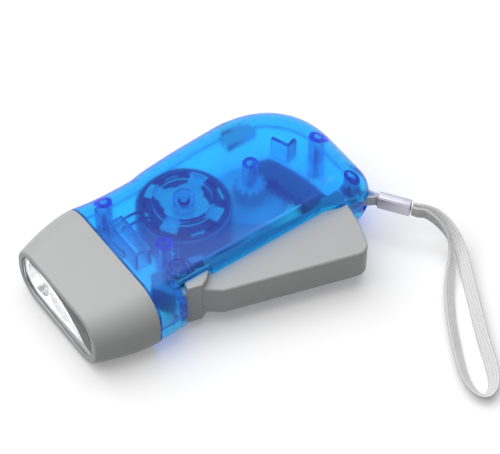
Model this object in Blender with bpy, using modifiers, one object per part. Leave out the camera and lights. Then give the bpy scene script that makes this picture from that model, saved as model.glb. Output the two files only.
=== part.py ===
# Squeeze-lever dynamo torch, lying on its side: lamp to -X, wrist strap at +X, lever towards -Y, +Z up.
# The origin is on the flat underside, on the lamp's centre line and half way along the body.

import math

import bmesh
import bpy
from mathutils import Matrix, Vector

MM = 0.001

# Body
BODY_LENGTH = 103.0 * MM
HEAD_LENGTH = 20.5 * MM
BODY_HEIGHT = 24.4 * MM
BODY_HALF_WIDTH = 25.0 * MM
TAIL_NEAR_HALF_WIDTH = 22.4 * MM
EDGE_RADIUS = 10.0 * MM
SIDE_FLAT = 2.0 * MM
EDGE_STEPS = 6
TAIL_CORNER_RADIUS = 7.5 * MM
LEVER_SIDE_DRAW = 4.57 * MM
LEVER_SIDE_STEP = 0.6 * MM
LEVER_SIDE_TAIL = 19.5 * MM
LEVER_SIDE_SWING = 6.7 * MM
lever_side_edge_share = 0.28
TAIL_SWEEP_LENGTH = 27.5 * MM
TAIL_SWEEP_POWER = 2.3
TAIL_SWEEP_STEPS = 12
CORNER_STEPS = 6
WALL = 2.2 * MM
GAP = 0.3 * MM
RUN_GAP = 0.35 * MM
CUT_OVERRUN = 20.0 * MM
JOIN_OVERLAP = 1.0 * MM
far_side_shares = ((0.0, 1.0), (0.16, 0.957), (0.38, 0.952), (0.47, 0.99), (0.7, 1.04), (1.0, 1.072))
near_side_shares = (0.0, 0.25, 0.5, 0.75, 1.0)
swing_shares = (0.25, 0.5, 0.75, 1.0)

# Neck that the head slides over
NECK_LENGTH = 4.5 * MM
NECK_INSET = 1.8 * MM
NECK_WALL = 1.6 * MM

# Head, reflector and lamps
HEAD_WALL = 1.4 * MM
HEAD_FRONT_HALF_WIDTH = 21.0 * MM
HEAD_FRONT_HALF_HEIGHT = 10.4 * MM
HEAD_FRONT_CORNER = 9.0 * MM
LENS_OPENING_HALF_WIDTH = 18.6 * MM
LENS_OPENING_HALF_HEIGHT = 8.0 * MM
LENS_OPENING_CORNER = 6.5 * MM
LENS_LAP = 0.8 * MM
LENS_THICKNESS = 1.2 * MM
LIP_THICKNESS = 1.6 * MM
LIP_ROUNDING = 0.7 * MM
SECTION_STEPS = 6
head_taper_shares = ((0.0, 0.0), (0.22, 0.06), (0.5, 0.3), (0.78, 0.68), (0.93, 0.92))
REFLECTOR_DEPTH = 6.4 * MM
REFLECTOR_BACK = 1.2 * MM
CUP_MOUTH_RADIUS = 5.5 * MM
CUP_STEPS = 4
LAMP_PITCH = 11.5 * MM
LAMP_RADIUS = 2.5 * MM
LAMP_FLANGE_RADIUS = 2.9 * MM
LAMP_FLANGE_THICKNESS = 0.9 * MM
LAMP_LENGTH = 5.8 * MM
LAMP_LEG_RADIUS = 0.3 * MM
LAMP_LEG_SPACING = 1.27 * MM
LAMP_LEG_LENGTH = 1.0 * MM
BOARD_THICKNESS = 1.6 * MM
CELL_RADIUS = 5.8 * MM
CELL_THICKNESS = 5.0 * MM
CELL_Y = 9.0 * MM
RECTIFIER_LENGTH = 6.0 * MM
RECTIFIER_HEIGHT = 4.6 * MM
RECTIFIER_DEPTH = 2.4 * MM
RECTIFIER_Y = -7.0 * MM

# Lever
PIVOT_X = -18.1 * MM
PIVOT_Y = -14.6 * MM
LEVER_REST_ANGLE = math.radians(16.7)
LEVER_TRAVEL = math.radians(14.0)
LEVER_THICKNESS = 11.4 * MM
LEVER_BLOCK_THICKNESS = 16.8 * MM
LEVER_OUTER_FACE = 9.5 * MM
LEVER_BLOCK_FACE = 7.6 * MM
LEVER_BLOCK_RADIUS = 9.2 * MM
LEVER_BLOCK_FRONT = 0.6 * MM
LEVER_NOSE_X = 9.0 * MM
LEVER_NOSE_Y = 1.5 * MM
LEVER_NOSE_START = math.radians(215.0)
LEVER_BLOCK_INNER = 3.0 * MM
LEVER_FLARE_START = 6.0 * MM
LEVER_FLARE_END = 11.4 * MM
LEVER_TAIL_RADIUS = 58.3 * MM
LEVER_TAIL_CORNER = 4.0 * MM
LEVER_INNER_ANGLE = math.radians(16.0)
LEVER_WALL = 2.0 * MM
lever_inner_shares = ((0.155, 0.2), (0.3, 0.31), (0.77, 0.72))
lever_pocket_shares = (0.24, 0.72)
PIVOT_PIN_RADIUS = 1.5 * MM
PIVOT_HUB_RADIUS = 4.6 * MM
PIVOT_TOP_BOSS_RADIUS = 2.6 * MM
PIVOT_LOW_BOSS_RADIUS = 4.0 * MM
PIN_SEAT_DEPTH = 1.2 * MM
EDGE_BREAK = 0.8 * MM

# Return spring
SPRING_WIRE_RADIUS = 0.35 * MM
SPRING_RADIUS = 3.5 * MM
SPRING_PITCH = 1.35 * MM
SPRING_TURNS = 3
SPRING_POINTS_PER_TURN = 12
SPRING_LEG_LENGTH = 4.6 * MM
SPRING_RECESS_RADIUS = 4.8 * MM
SPRING_TOP_LEG_ANGLE = math.radians(52.0)
SPRING_STOP_RADIUS = 0.8 * MM

# Gears: teeth, modules in length units, and the dynamo's place
PRESSURE_ANGLE = math.radians(20.0)
BACKLASH_SHARE = 0.07
RACK_MODULE = 0.75 * MM
RACK_TEETH = 132
RACK_PINION_TEETH = 12
TRAIN_MODULE = 0.5 * MM
TRAIN_GEAR_TEETH = 48
TRAIN_PINION_TEETH = 12
gear_addendum_share = 0.74
pinion_addendum_share = 0.9
rack_addendum_share = 0.62
dedendum_share = 1.15
RACK_PINION_BEARING = math.radians(25.4)
RACK_OVERRUN = math.radians(4.5)
RACK_TIP_SLOPE = math.radians(5.0)
RACK_FACE = 5.0 * MM
RACK_LIFT = 1.1 * MM
RACK_BACK_RADIUS = 57.0 * MM
RACK_TIP_RADIUS = 53.0 * MM
RACK_ROOT_ANGLE = math.radians(9.0)
GEAR_FACE = 1.5 * MM
SHAFT_RADIUS = 1.0 * MM
GEAR_BOSS_RADIUS = 1.8 * MM
SHAFT_TOP_BOSS_RADIUS = 2.5 * MM
SHAFT_HOLD = 2.4 * MM
ROTOR_SLEEVE_RADIUS = 2.1 * MM

# Dynamo
ROTOR_X = -1.5 * MM
ROTOR_Y = 5.6 * MM
CUP_RADIUS = 14.8 * MM
CUP_WALL = 0.9 * MM
CUP_FLOOR = 1.2 * MM
CUP_HEIGHT = 11.4 * MM
CUP_LIFT = 0.9 * MM
MAGNET_WALL = 0.9 * MM
POLE_WALL = 0.8 * MM
POLE_AIR_GAP = 0.4 * MM
POLE_WIDTH = 5.6 * MM
PLATE_THICKNESS = 0.8 * MM
PLATE_COUNT = 4
PLATE_TURN = math.radians(31.0)
plate_waist_share = 0.36
scallop_radius_share = 0.42
scallop_centre_share = 0.72
BOBBIN_FLANGE = 0.9 * MM
BOBBIN_CORE_RADIUS = 3.4 * MM
COIL_MARGIN = 0.8 * MM
CLAW_TIP_LENGTH = 2.2 * MM
CLAW_WIDTH = 4.4 * MM
HUB_BOSS_RADIUS = 3.4 * MM
RING_RIB_RADIUS = 9.2 * MM
RIB_THICKNESS = 0.9 * MM

# Screw posts, as (x, y) from the origin
SCREW_POST_RADIUS = 2.7 * MM
STRAP_POST_RADIUS = 2.3 * MM
SCREW_SHANK_RADIUS = 0.85 * MM
SCREW_HEAD_RADIUS = 1.7 * MM
SCREW_HEAD_THICKNESS = 1.3 * MM
SCREW_LENGTH = 13.0 * MM
SCREW_SEAT_HEIGHT = 4.2 * MM
SCREW_SLOT_WIDTH = 0.5 * MM
SCREW_SLOT_DEPTH = 0.6 * MM
FRONT_FAR_POST_X = -22.3 * MM
FRONT_FAR_POST_Y = 18.0 * MM
FRONT_NEAR_POST_X = -16.5 * MM
FRONT_NEAR_POST_Y = -5.7 * MM
TAIL_FAR_POST_X = 45.8 * MM
TAIL_FAR_POST_Y = 1.7 * MM
STRAP_POST_X = 45.2 * MM
STRAP_POST_Y = -15.9 * MM

# Ribs moulded in the upper shell
VEE_X = 36.1 * MM
VEE_Y = 3.8 * MM
VEE_LONG_ARM = 5.8 * MM
VEE_SHORT_ARM = 3.4 * MM
VEE_LONG_BEARING = math.radians(113.0)
VEE_SHORT_BEARING = math.radians(15.0)
VEE_DEPTH = 8.4 * MM
WELL_X = -23.5 * MM
WELL_Y = 2.7 * MM
WELL_LENGTH = 15.5 * MM
WELL_WIDTH = 5.4 * MM
WELL_DEPTH = 7.0 * MM

# Slide switch on the far side
SWITCH_X = 29.0 * MM
SWITCH_LENGTH = 11.0 * MM
SWITCH_DEPTH = 4.6 * MM
SWITCH_HEIGHT = 3.2 * MM
SWITCH_LIFT = 1.2 * MM
SWITCH_TRAVEL = 3.0 * MM
SLIDER_WIDTH = 3.4 * MM
SLIDER_HEIGHT = 2.0 * MM
SLIDER_PROUD = 1.4 * MM
SLIDER_CAP = 0.9 * MM

# Wires
WIRE_RADIUS = 0.4 * MM
WIRE_STEPS = 4

# Wrist strap: a flat braid standing on edge. The route is chosen by hand, in millimetres from the origin,
# with the lean of the braid from upright in degrees.
STRAP_WIDTH = 4.4 * MM
STRAP_THICKNESS = 1.0 * MM
STRAP_PAIR_GAP = 0.4 * MM
FERRULE_LENGTH = 10.2 * MM
FERRULE_WALL = 0.35 * MM
FERRULE_START_X = 51.5 * MM
FERRULE_START_Y = -22.6 * MM
FERRULE_BEARING = math.radians(-54.5)
STRAP_ROUTE_STEPS = 2
strap_route = (
    (58.3, -31.0, 12.2, 0), (59.6, -32.5, 12.1, 2), (61.4, -34.0, 11.4, 6), (63.3, -36.2, 10.3, 12),
    (64.5, -38.8, 8.9, 20), (65.0, -41.7, 7.3, 28), (64.9, -44.7, 5.8, 36), (64.2, -47.7, 4.5, 42),
    (62.9, -51.0, 3.4, 45), (61.1, -54.7, 2.6, 46), (59.1, -58.8, 2.1, 46), (56.6, -63.6, 2.1, 46),
    (54.1, -68.3, 2.1, 46), (51.7, -72.9, 2.1, 46), (49.3, -77.6, 2.1, 46), (47.3, -82.0, 2.1, 46),
    (45.2, -86.3, 2.1, 46), (43.0, -90.1, 2.1, 45), (40.1, -92.8, 2.1, 44), (37.4, -93.5, 2.1, 43),
    (35.8, -91.7, 2.1, 43), (35.5, -88.4, 2.1, 44), (36.4, -84.5, 2.1, 45), (38.3, -80.1, 2.1, 46),
    (40.7, -75.5, 2.1, 46), (43.4, -70.7, 2.1, 46), (46.2, -65.9, 2.1, 46), (49.2, -61.5, 2.1, 46),
    (52.2, -57.4, 2.3, 46), (55.5, -53.7, 2.9, 44), (58.5, -50.6, 3.8, 38), (60.8, -47.7, 5.0, 30),
    (62.0, -45.0, 6.5, 22), (62.4, -42.5, 8.1, 15), (62.1, -39.7, 9.6, 9), (61.2, -37.0, 10.9, 5),
    (59.9, -34.7, 11.7, 2), (58.1, -33.4, 12.1, 1), (57.2, -31.8, 12.2, 0),
)

ROUND_SIDES = 32
SMALL_SIDES = 16

# Places and heights that follow from the sizes above
seam_x = HEAD_LENGTH - BODY_LENGTH / 2
front_x = -BODY_LENGTH / 2
tail_x = BODY_LENGTH / 2
mid_z = BODY_HEIGHT / 2
ceiling_z = BODY_HEIGHT - WALL
floor_z = WALL
low_gear_z = floor_z + RUN_GAP
mid_gear_z = low_gear_z + GEAR_FACE + RUN_GAP
mid_gear_top = mid_gear_z + GEAR_FACE
lever_z = mid_z - LEVER_THICKNESS / 2
lever_top = mid_z + LEVER_THICKNESS / 2
block_z = mid_z - LEVER_BLOCK_THICKNESS / 2
block_top = mid_z + LEVER_BLOCK_THICKNESS / 2
rack_z = mid_gear_top + RACK_LIFT
rack_top = rack_z + RACK_FACE
cup_z = mid_gear_top + CUP_LIFT
cup_top = cup_z + CUP_HEIGHT
magnet_outer = CUP_RADIUS - CUP_WALL - GAP
magnet_inner = magnet_outer - MAGNET_WALL
pole_radius = magnet_inner - POLE_AIR_GAP
low_plate_z = cup_z + CUP_FLOOR + RUN_GAP
top_plate_top = cup_top + PLATE_THICKNESS + RUN_GAP
bobbin_z = low_plate_z + PLATE_THICKNESS + GAP
bobbin_top = top_plate_top - PLATE_THICKNESS - GAP
bobbin_radius = pole_radius - POLE_WALL - GAP
spring_recess_z = block_top - SPRING_TURNS * SPRING_PITCH - SPRING_WIRE_RADIUS * 2
strap_z = mid_z
rack_pitch_radius = RACK_MODULE * RACK_TEETH / 2
rack_pinion_radius = RACK_MODULE * RACK_PINION_TEETH / 2
train_gear_radius = TRAIN_MODULE * TRAIN_GEAR_TEETH / 2
train_pinion_radius = TRAIN_MODULE * TRAIN_PINION_TEETH / 2
pivot = Vector((PIVOT_X, PIVOT_Y, 0))
rotor_centre = Vector((ROTOR_X, ROTOR_Y, 0))
screw_posts = (
    ("front_far", FRONT_FAR_POST_X, FRONT_FAR_POST_Y, SCREW_POST_RADIUS),
    ("front_near", FRONT_NEAR_POST_X, FRONT_NEAR_POST_Y, SCREW_POST_RADIUS),
    ("tail_far", TAIL_FAR_POST_X, TAIL_FAR_POST_Y, SCREW_POST_RADIUS),
    ("tail_near", STRAP_POST_X, STRAP_POST_Y, STRAP_POST_RADIUS),
)


def polar(radius, angle, centre=Vector((0, 0, 0))):
    return Vector((centre.x + radius * math.cos(angle), centre.y + radius * math.sin(angle), 0))


# The first gear sits on the lever's rack, and the second is where both of its meshes close.
first_centre = polar(rack_pitch_radius - rack_pinion_radius, RACK_PINION_BEARING, pivot)
train_distance = train_gear_radius + train_pinion_radius


def meeting_point(a, b, distance):
    middle = (a + b) / 2
    along = b - a
    height = math.sqrt(max(distance ** 2 - (along.length / 2) ** 2, 0))
    across = Vector((-along.y, along.x, 0)).normalized()
    return middle + across * height


second_centre = meeting_point(first_centre, rotor_centre, train_distance)


# Collections, materials and objects

def clear_scene():
    for obj in list(bpy.data.objects):
        bpy.data.objects.remove(obj)


def make_collection(name):
    collection = bpy.data.collections.new(name)
    bpy.context.scene.collection.children.link(collection)
    return collection


def make_material(name, colour, roughness, metallic=0.0, alpha=1.0):
    material = bpy.data.materials.new(name)
    material.use_nodes = True
    shader = material.node_tree.nodes["Principled BSDF"]
    shader.inputs["Base Color"].default_value = (*colour, 1.0)
    shader.inputs["Roughness"].default_value = roughness
    shader.inputs["Metallic"].default_value = metallic
    shader.inputs["Alpha"].default_value = alpha
    material.diffuse_color = (*colour, alpha)
    return material


clear_scene()
parts = make_collection("squeeze_dynamo_torch")
cutters = make_collection("cutters")

BLUE = make_material("clear_blue_plastic", (0.03, 0.30, 0.90), 0.12, alpha=0.5)
GREY = make_material("grey_abs", (0.46, 0.46, 0.45), 0.42)
CLEAR = make_material("clear_acrylic", (0.92, 0.95, 0.97), 0.05, alpha=0.3)
SILVER = make_material("reflector_coating", (0.85, 0.86, 0.88), 0.15, metallic=1.0)
LAMP = make_material("lamp_epoxy", (0.95, 0.95, 0.9), 0.08, alpha=0.6)
STEEL = make_material("steel", (0.62, 0.63, 0.65), 0.28, metallic=1.0)
ZINC = make_material("zinc_plated_steel", (0.75, 0.78, 0.82), 0.3, metallic=1.0)
IRON = make_material("dark_flywheel", (0.07, 0.07, 0.08), 0.5)
MAGNET = make_material("ferrite", (0.10, 0.10, 0.11), 0.6)
COPPER = make_material("copper_winding", (0.72, 0.32, 0.14), 0.35, metallic=1.0)
NYLON = make_material("white_nylon", (0.86, 0.87, 0.86), 0.4)
BLACK = make_material("black_plastic", (0.03, 0.03, 0.03), 0.45)
BOARD = make_material("board_green", (0.03, 0.22, 0.10), 0.5)
RED = make_material("red_wire", (0.60, 0.03, 0.03), 0.45)
BRAID = make_material("white_braid", (0.88, 0.88, 0.87), 0.85)


def add_empty(name, place, turn=0.0):
    empty = bpy.data.objects.new(name, None)
    empty.location = place
    empty.rotation_euler = (0, 0, turn)
    parts.objects.link(empty)
    return empty


housing = add_empty("housing_frame", (0, 0, 0))
lever_frame = add_empty("lever_pivot", pivot, -LEVER_REST_ANGLE)
first_frame = add_empty("first_gear_axis", first_centre)
second_frame = add_empty("second_gear_axis", second_centre)
rotor_frame = add_empty("rotor_axis", rotor_centre)


def add_mesh_object(name, mesh, parent, material=None):
    obj = bpy.data.objects.new(name, mesh)
    parts.objects.link(obj)
    obj.parent = parent
    if material:
        mesh.materials.clear()
        mesh.materials.append(material)
        mesh.shade_smooth()
        mesh.set_sharp_from_angle(angle=math.radians(30))
    return obj


def make_cutter(obj):
    parts.objects.unlink(obj)
    cutters.objects.link(obj)
    obj.hide_render = True
    obj.display_type = "WIRE"


def join(target, tool):
    add_boolean(target, tool, "UNION")


def cut(target, tool):
    add_boolean(target, tool, "DIFFERENCE")


def add_boolean(target, tool, operation):
    modifier = target.modifiers.new(operation.lower() + "_" + tool.name, "BOOLEAN")
    modifier.operation = operation
    modifier.object = tool
    make_cutter(tool)


def add_bevel(obj, width, segments=2, angle=math.radians(40)):
    modifier = obj.modifiers.new("edge_rounding", "BEVEL")
    modifier.width = width
    modifier.segments = segments
    modifier.limit_method = "ANGLE"
    modifier.angle_limit = angle
    modifier.use_clamp_overlap = True


# Shapes

def mesh_from(bm, name):
    mesh = bpy.data.meshes.new(name)
    bm.to_mesh(mesh)
    bm.free()
    return mesh


def mesh_from_curve(curve_object, name):
    # A curve's caps are loose until their points are merged.
    graph = bpy.context.evaluated_depsgraph_get()
    mesh = bpy.data.meshes.new_from_object(curve_object.evaluated_get(graph))
    mesh.name = name
    bm = bmesh.new()
    bm.from_mesh(mesh)
    bmesh.ops.remove_doubles(bm, verts=bm.verts, dist=0.001 * MM)
    bmesh.ops.recalc_face_normals(bm, faces=bm.faces)
    bm.to_mesh(mesh)
    bm.free()
    curve = curve_object.data
    bpy.data.objects.remove(curve_object)
    bpy.data.curves.remove(curve)
    return mesh


def flat(name, outlines, low, high, parent, material=None, turned_to_x=False):
    # A plate: the first outline is its edge and the rest are its holes. turned_to_x lays it across X,
    # with the outline's x as Y and its y as Z.
    curve = bpy.data.curves.new(name, "CURVE")
    curve.dimensions = "2D"
    curve.fill_mode = "BOTH"
    curve.extrude = (high - low) / 2
    for outline in outlines:
        spline = curve.splines.new("POLY")
        spline.points.add(len(outline) - 1)
        for point, place in zip(spline.points, outline):
            point.co = (place[0], place[1], 0, 1)
        spline.use_cyclic_u = True
    flat_object = bpy.data.objects.new(name, curve)
    parts.objects.link(flat_object)
    bpy.context.view_layer.update()
    mesh = mesh_from_curve(flat_object, name)
    mesh.transform(Matrix.Translation((0, 0, (low + high) / 2)))
    if turned_to_x:
        mesh.transform(Matrix(((0, 0, 1, 0), (1, 0, 0, 0), (0, 1, 0, 0), (0, 0, 0, 1))))
    return add_mesh_object(name, mesh, parent, material)


def drawn_in(outline, inset):
    # The outline, drawn in by inset along its mitres.
    points = [Vector((p[0], p[1])) for p in outline]
    result = []
    for before, here, after in zip(points[-1:] + points[:-1], points, points[1:] + points[:1]):
        a = (here - before).normalized()
        b = (after - here).normalized()
        across = Vector((-a.y - b.y, a.x + b.x)).normalized()
        result.append(here + across * (inset / max(across.dot(Vector((-a.y, a.x))), 0.5)))
    return result


def eased(name, outline, low, high, ease, parent, material):
    # A plate whose outer edges are rounded; the outline runs anticlockwise.
    steps = [(1.0, 0.0), (0.3, 0.3), (0.0, 1.0)]
    levels = [(inset, low + ease * rise) for inset, rise in steps]
    levels += [(inset, high - ease * rise) for inset, rise in reversed(steps)]
    rings = [[(p.x, p.y, z) for p in drawn_in(outline, ease * inset)] for inset, z in levels]
    bm = loft(rings, closed_rings=True, cap_last=True)
    bm.verts.ensure_lookup_table()
    bm.faces.new([bm.verts[i] for i in reversed(range(len(outline)))])
    bmesh.ops.recalc_face_normals(bm, faces=bm.faces)
    return add_mesh_object(name, mesh_from(bm, name), parent, material)


def circle(radius, sides=ROUND_SIDES, centre=(0, 0)):
    angles = [2 * math.pi * (i + 0.5) / sides for i in range(sides)]
    return [(centre[0] + radius * math.cos(a), centre[1] + radius * math.sin(a)) for a in angles]


def rod(name, radius, low, high, parent, material=None, centre=(0, 0), sides=SMALL_SIDES):
    bm = bmesh.new()
    bmesh.ops.create_cone(
        bm, cap_ends=True, segments=sides, radius1=radius, radius2=radius, depth=high - low,
        matrix=Matrix.Translation((centre[0], centre[1], (low + high) / 2)))
    return add_mesh_object(name, mesh_from(bm, name), parent, material)


def block(name, low, high, parent, material=None, turn=0.0, centre=(0, 0)):
    size = [h - l for l, h in zip(low, high)]
    middle = [(h + l) / 2 for l, h in zip(low, high)]
    bm = bmesh.new()
    place = Matrix.Translation((centre[0], centre[1], 0)) @ Matrix.Rotation(turn, 4, "Z")
    scale = Matrix.Diagonal((*size, 1))
    bmesh.ops.create_cube(bm, size=1, matrix=place @ Matrix.Translation(middle) @ scale)
    return add_mesh_object(name, mesh_from(bm, name), parent, material)


def turned(name, profile, parent, material=None, place=Matrix(), sides=ROUND_SIDES):
    # profile is (radius, height) from the top down on the outer side.
    bm = bmesh.new()
    chain = [bm.verts.new((radius, 0, height)) for radius, height in profile]
    for a, b in zip(chain, chain[1:]):
        bm.edges.new((a, b))
    obj = add_mesh_object(name, mesh_from(bm, name), parent, material)
    obj.matrix_local = place
    screw = obj.modifiers.new("turn", "SCREW")
    screw.steps = sides
    screw.render_steps = sides
    screw.use_merge_vertices = True
    screw.merge_threshold = 0.002 * MM
    screw.use_smooth_shade = True
    return obj


def tube(name, points, radius, parent, material, resolution=2):
    curve = bpy.data.curves.new(name, "CURVE")
    curve.dimensions = "3D"
    curve.bevel_depth = radius
    curve.bevel_resolution = resolution
    curve.use_fill_caps = True
    spline = curve.splines.new("POLY")
    spline.points.add(len(points) - 1)
    for point, place in zip(spline.points, points):
        point.co = (*place, 1)
    tube_object = bpy.data.objects.new(name, curve)
    parts.objects.link(tube_object)
    bpy.context.view_layer.update()
    return add_mesh_object(name, mesh_from_curve(tube_object, name), parent, material)


def smooth_path(points, steps):
    # A smooth curve through the points, whatever their number of values.
    ends = [points[0], *points, points[-1]]
    path = []
    for a, b, c, d in zip(ends, ends[1:], ends[2:], ends[3:]):
        for step in range(steps):
            t = step / steps
            path.append(tuple(
                ((2 * q) + (r - p) * t + (2 * p - 5 * q + 4 * r - s) * t ** 2 + (3 * q - p - 3 * r + s) * t ** 3) / 2
                for p, q, r, s in zip(a, b, c, d)))
    path.append(tuple(points[-1]))
    return path


def loft(rings, closed_rings, close_last=False, cap_last=False, flip=False):
    # Faces between rings of equal count; close_last also joins the last ring to the first.
    bm = bmesh.new()
    rows = [[bm.verts.new(point) for point in ring] for ring in rings]
    pairs = list(zip(rows, rows[1:]))
    if close_last:
        pairs.append((rows[-1], rows[0]))
    count = len(rings[0])
    last = count if closed_rings else count - 1
    for low, high in pairs:
        for i in range(last):
            j = (i + 1) % count
            bm.faces.new((low[i], low[j], high[j], high[i]))
    if cap_last:
        bm.faces.new(rows[-1])
    if flip:
        bmesh.ops.reverse_faces(bm, faces=bm.faces)
    return bm


# Body outline and section

def arc(centre, radius, start, end, steps):
    return [polar(radius, start + (end - start) * i / steps, Vector((*centre, 0))).to_2d() for i in range(steps + 1)]


def near_side(start, end):
    # Full width at the head, drawn in over the lever, then swinging out again to the tail's corner.
    drawn, turn_x, step_x = LEVER_SIDE_DRAW - BODY_HALF_WIDTH, tail_x - LEVER_SIDE_TAIL, slot_front_x - GAP / 2

    def full(x):
        return start.y + (end.y - start.y) * (x - start.x) / (end.x - start.x)

    before = step_x - LEVER_SIDE_STEP
    points = [start, Vector(((start.x + before) / 2, full((start.x + before) / 2))), Vector((before, full(before)))]
    points += [Vector((step_x + (turn_x - step_x) * share, drawn)) for share in near_side_shares]
    for share in swing_shares:
        x = turn_x + LEVER_SIDE_SWING * share
        points.append(Vector((x, drawn + (full(x) - drawn) * share ** 2 * (3 - 2 * share))))
    return points


def edge_share(p):
    # How much of the edge's rounding a point of the outline gets: little of it over the lever.
    turn_x = tail_x - LEVER_SIDE_TAIL
    if p.y > PIVOT_Y or p.x < slot_front_x - GAP:
        return 1.0
    along = (p.x - turn_x) / (tail_x - TAIL_CORNER_RADIUS - turn_x)
    return lever_side_edge_share + (1 - lever_side_edge_share) * min(max(along, 0), 1)


def shell_ring(inset, z, wall=0):
    # The outline at one height, drawn in by the edge's rounding; with a wall it is the hollow's, open at the seam.
    length, outline = tail_x - seam_x, body_outline()
    ring = []
    for p, q in zip(outline, drawn_in(outline, wall) if wall else outline):
        x = seam_x + (q.x - seam_x) * (1 - inset / length)
        if wall and p.x < seam_x + GAP:
            x = seam_x - JOIN_OVERLAP
        ring.append((x, q.y * (1 - inset * edge_share(p) / BODY_HALF_WIDTH), z))
    return ring


def body_outline():
    # Widest plan outline, from the head seam on the lever's side, round the tail, to the seam on the far side.
    sweep_x = tail_x - TAIL_SWEEP_LENGTH
    bulge = BODY_HALF_WIDTH * far_side_shares[-1][1]
    corner = (tail_x - TAIL_CORNER_RADIUS, TAIL_CORNER_RADIUS - TAIL_NEAR_HALF_WIDTH)
    points = near_side(Vector((seam_x, -BODY_HALF_WIDTH)), Vector((corner[0], -TAIL_NEAR_HALF_WIDTH)))
    points += arc(corner, TAIL_CORNER_RADIUS, -math.pi / 2, 0, CORNER_STEPS)
    for i in range(TAIL_SWEEP_STEPS + 1):
        angle = math.pi / 2 * i / TAIL_SWEEP_STEPS
        points.append(Vector((
            sweep_x + TAIL_SWEEP_LENGTH * math.cos(angle) ** (2 / TAIL_SWEEP_POWER),
            bulge * math.sin(angle) ** (2 / TAIL_SWEEP_POWER))))
    anchors = [(seam_x + (sweep_x - seam_x) * x, BODY_HALF_WIDTH * y) for x, y in far_side_shares]
    side = smooth_path(anchors, 3)[:-1]
    points += [Vector(point) for point in reversed(side)]
    return points


def edge_levels(wall=0):
    # How far the outline draws in, and its height from the parting plane.
    levels = [(0.0, -JOIN_OVERLAP if wall else GAP / 2)]
    rise, radius = mid_z - SIDE_FLAT - wall, EDGE_RADIUS - wall
    for i in range(EDGE_STEPS + 1):
        angle = math.pi / 2 * i / EDGE_STEPS
        levels.append((radius * (1 - math.cos(angle)), SIDE_FLAT + rise * math.sin(angle)))
    return levels


def capped_loft(name, rings):
    bm = loft(rings, closed_rings=True, cap_last=True)
    bm.verts.ensure_lookup_table()
    bm.faces.new([bm.verts[i] for i in reversed(range(len(rings[0])))])
    bmesh.ops.recalc_face_normals(bm, faces=bm.faces)
    return add_mesh_object(name, mesh_from(bm, name), housing, BLUE)


def half_shell(name, side):
    # Plan sections that draw in towards the top, hollowed; side is 1 for the upper half, -1 for the lower.
    shell = capped_loft(name, [shell_ring(inset, mid_z + side * height) for inset, height in edge_levels()])
    cut(shell, capped_loft(name + "_hollow", [
        shell_ring(inset, mid_z + side * height, WALL) for inset, height in edge_levels(WALL)]))
    return shell


def half_envelope(name, side):
    # A solid a little inside the half shell's outer face, which posts and ribs are trimmed to.
    shrink = 1 - JOIN_OVERLAP / mid_z
    levels = [(JOIN_OVERLAP, -JOIN_OVERLAP)]
    levels += [(inset + JOIN_OVERLAP, height * shrink) for inset, height in edge_levels()]
    obj = capped_loft(name, [shell_ring(inset, mid_z + side * height) for inset, height in levels])
    make_cutter(obj)
    return obj


def join_inside(shell, tool, envelope):
    trim = tool.modifiers.new("trim", "BOOLEAN")
    trim.operation = "INTERSECT"
    trim.object = envelope
    join(shell, tool)


def half_section(inset, side):
    # Half of the body's cross-section at the seam, as (y, z), drawn in by inset.
    radius = EDGE_RADIUS - inset
    rise = mid_z - SIDE_FLAT - inset
    right = []
    for i in range(EDGE_STEPS + 1):
        angle = math.pi / 2 * i / EDGE_STEPS
        y = BODY_HALF_WIDTH - inset - radius * (1 - math.cos(angle))
        right.append((y, mid_z + side * (SIDE_FLAT + rise * math.sin(angle))))
    right.insert(0, (BODY_HALF_WIDTH - inset, mid_z + side * GAP / 2))
    return right + [(-y, z) for y, z in reversed(right)]


def neck(side, name):
    outline = half_section(NECK_INSET, side) + list(reversed(half_section(NECK_INSET + NECK_WALL, side)))
    low = seam_x - NECK_LENGTH
    return flat(name, [outline], low, seam_x + JOIN_OVERLAP, housing, turned_to_x=True)


def section(half_width, half_height, corner):
    # A rounded rectangle as (y, z) about the body's middle.
    points = []
    for quarter, (sy, sz) in enumerate(((1, 1), (-1, 1), (-1, -1), (1, -1))):
        for i in range(SECTION_STEPS + 1):
            angle = math.pi / 2 * (quarter + i / SECTION_STEPS)
            points.append((
                sy * (half_width - corner) + corner * math.cos(angle),
                mid_z + sz * (half_height - corner) + corner * math.sin(angle)))
    return points


def head_size(share):
    half_width = BODY_HALF_WIDTH + (HEAD_FRONT_HALF_WIDTH - BODY_HALF_WIDTH) * share
    half_height = mid_z + (HEAD_FRONT_HALF_HEIGHT - mid_z) * share
    corner = EDGE_RADIUS + (HEAD_FRONT_CORNER - EDGE_RADIUS) * share
    return half_width, half_height, corner


def head_x(share):
    return seam_x - GAP - (HEAD_LENGTH - GAP) * share


def taper_at(share):
    pairs = [*head_taper_shares, (1.0, 1.0)]
    for (a, low), (b, high) in zip(pairs, pairs[1:]):
        if share <= b:
            return low + (high - low) * (share - a) / (b - a)
    return 1.0


def head_inner(x, clearance=0.0):
    # The head's inside at x, drawn in by a clearance.
    share = (seam_x - GAP - x) / (HEAD_LENGTH - GAP)
    half_width, half_height, corner = head_size(taper_at(share))
    inset = HEAD_WALL + clearance
    return half_width - inset, half_height - inset, corner - inset


lens_back_x = front_x + LIP_THICKNESS + GAP + LENS_THICKNESS
lens_size = (
    LENS_OPENING_HALF_WIDTH + LENS_LAP, LENS_OPENING_HALF_HEIGHT + LENS_LAP, LENS_OPENING_CORNER + LENS_LAP)
reflector_x = lens_back_x + GAP
board_x = reflector_x + REFLECTOR_DEPTH + REFLECTOR_BACK + LAMP_FLANGE_THICKNESS + GAP * 2
board_back_x = board_x + BOARD_THICKNESS


# Upper and lower shells

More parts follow.
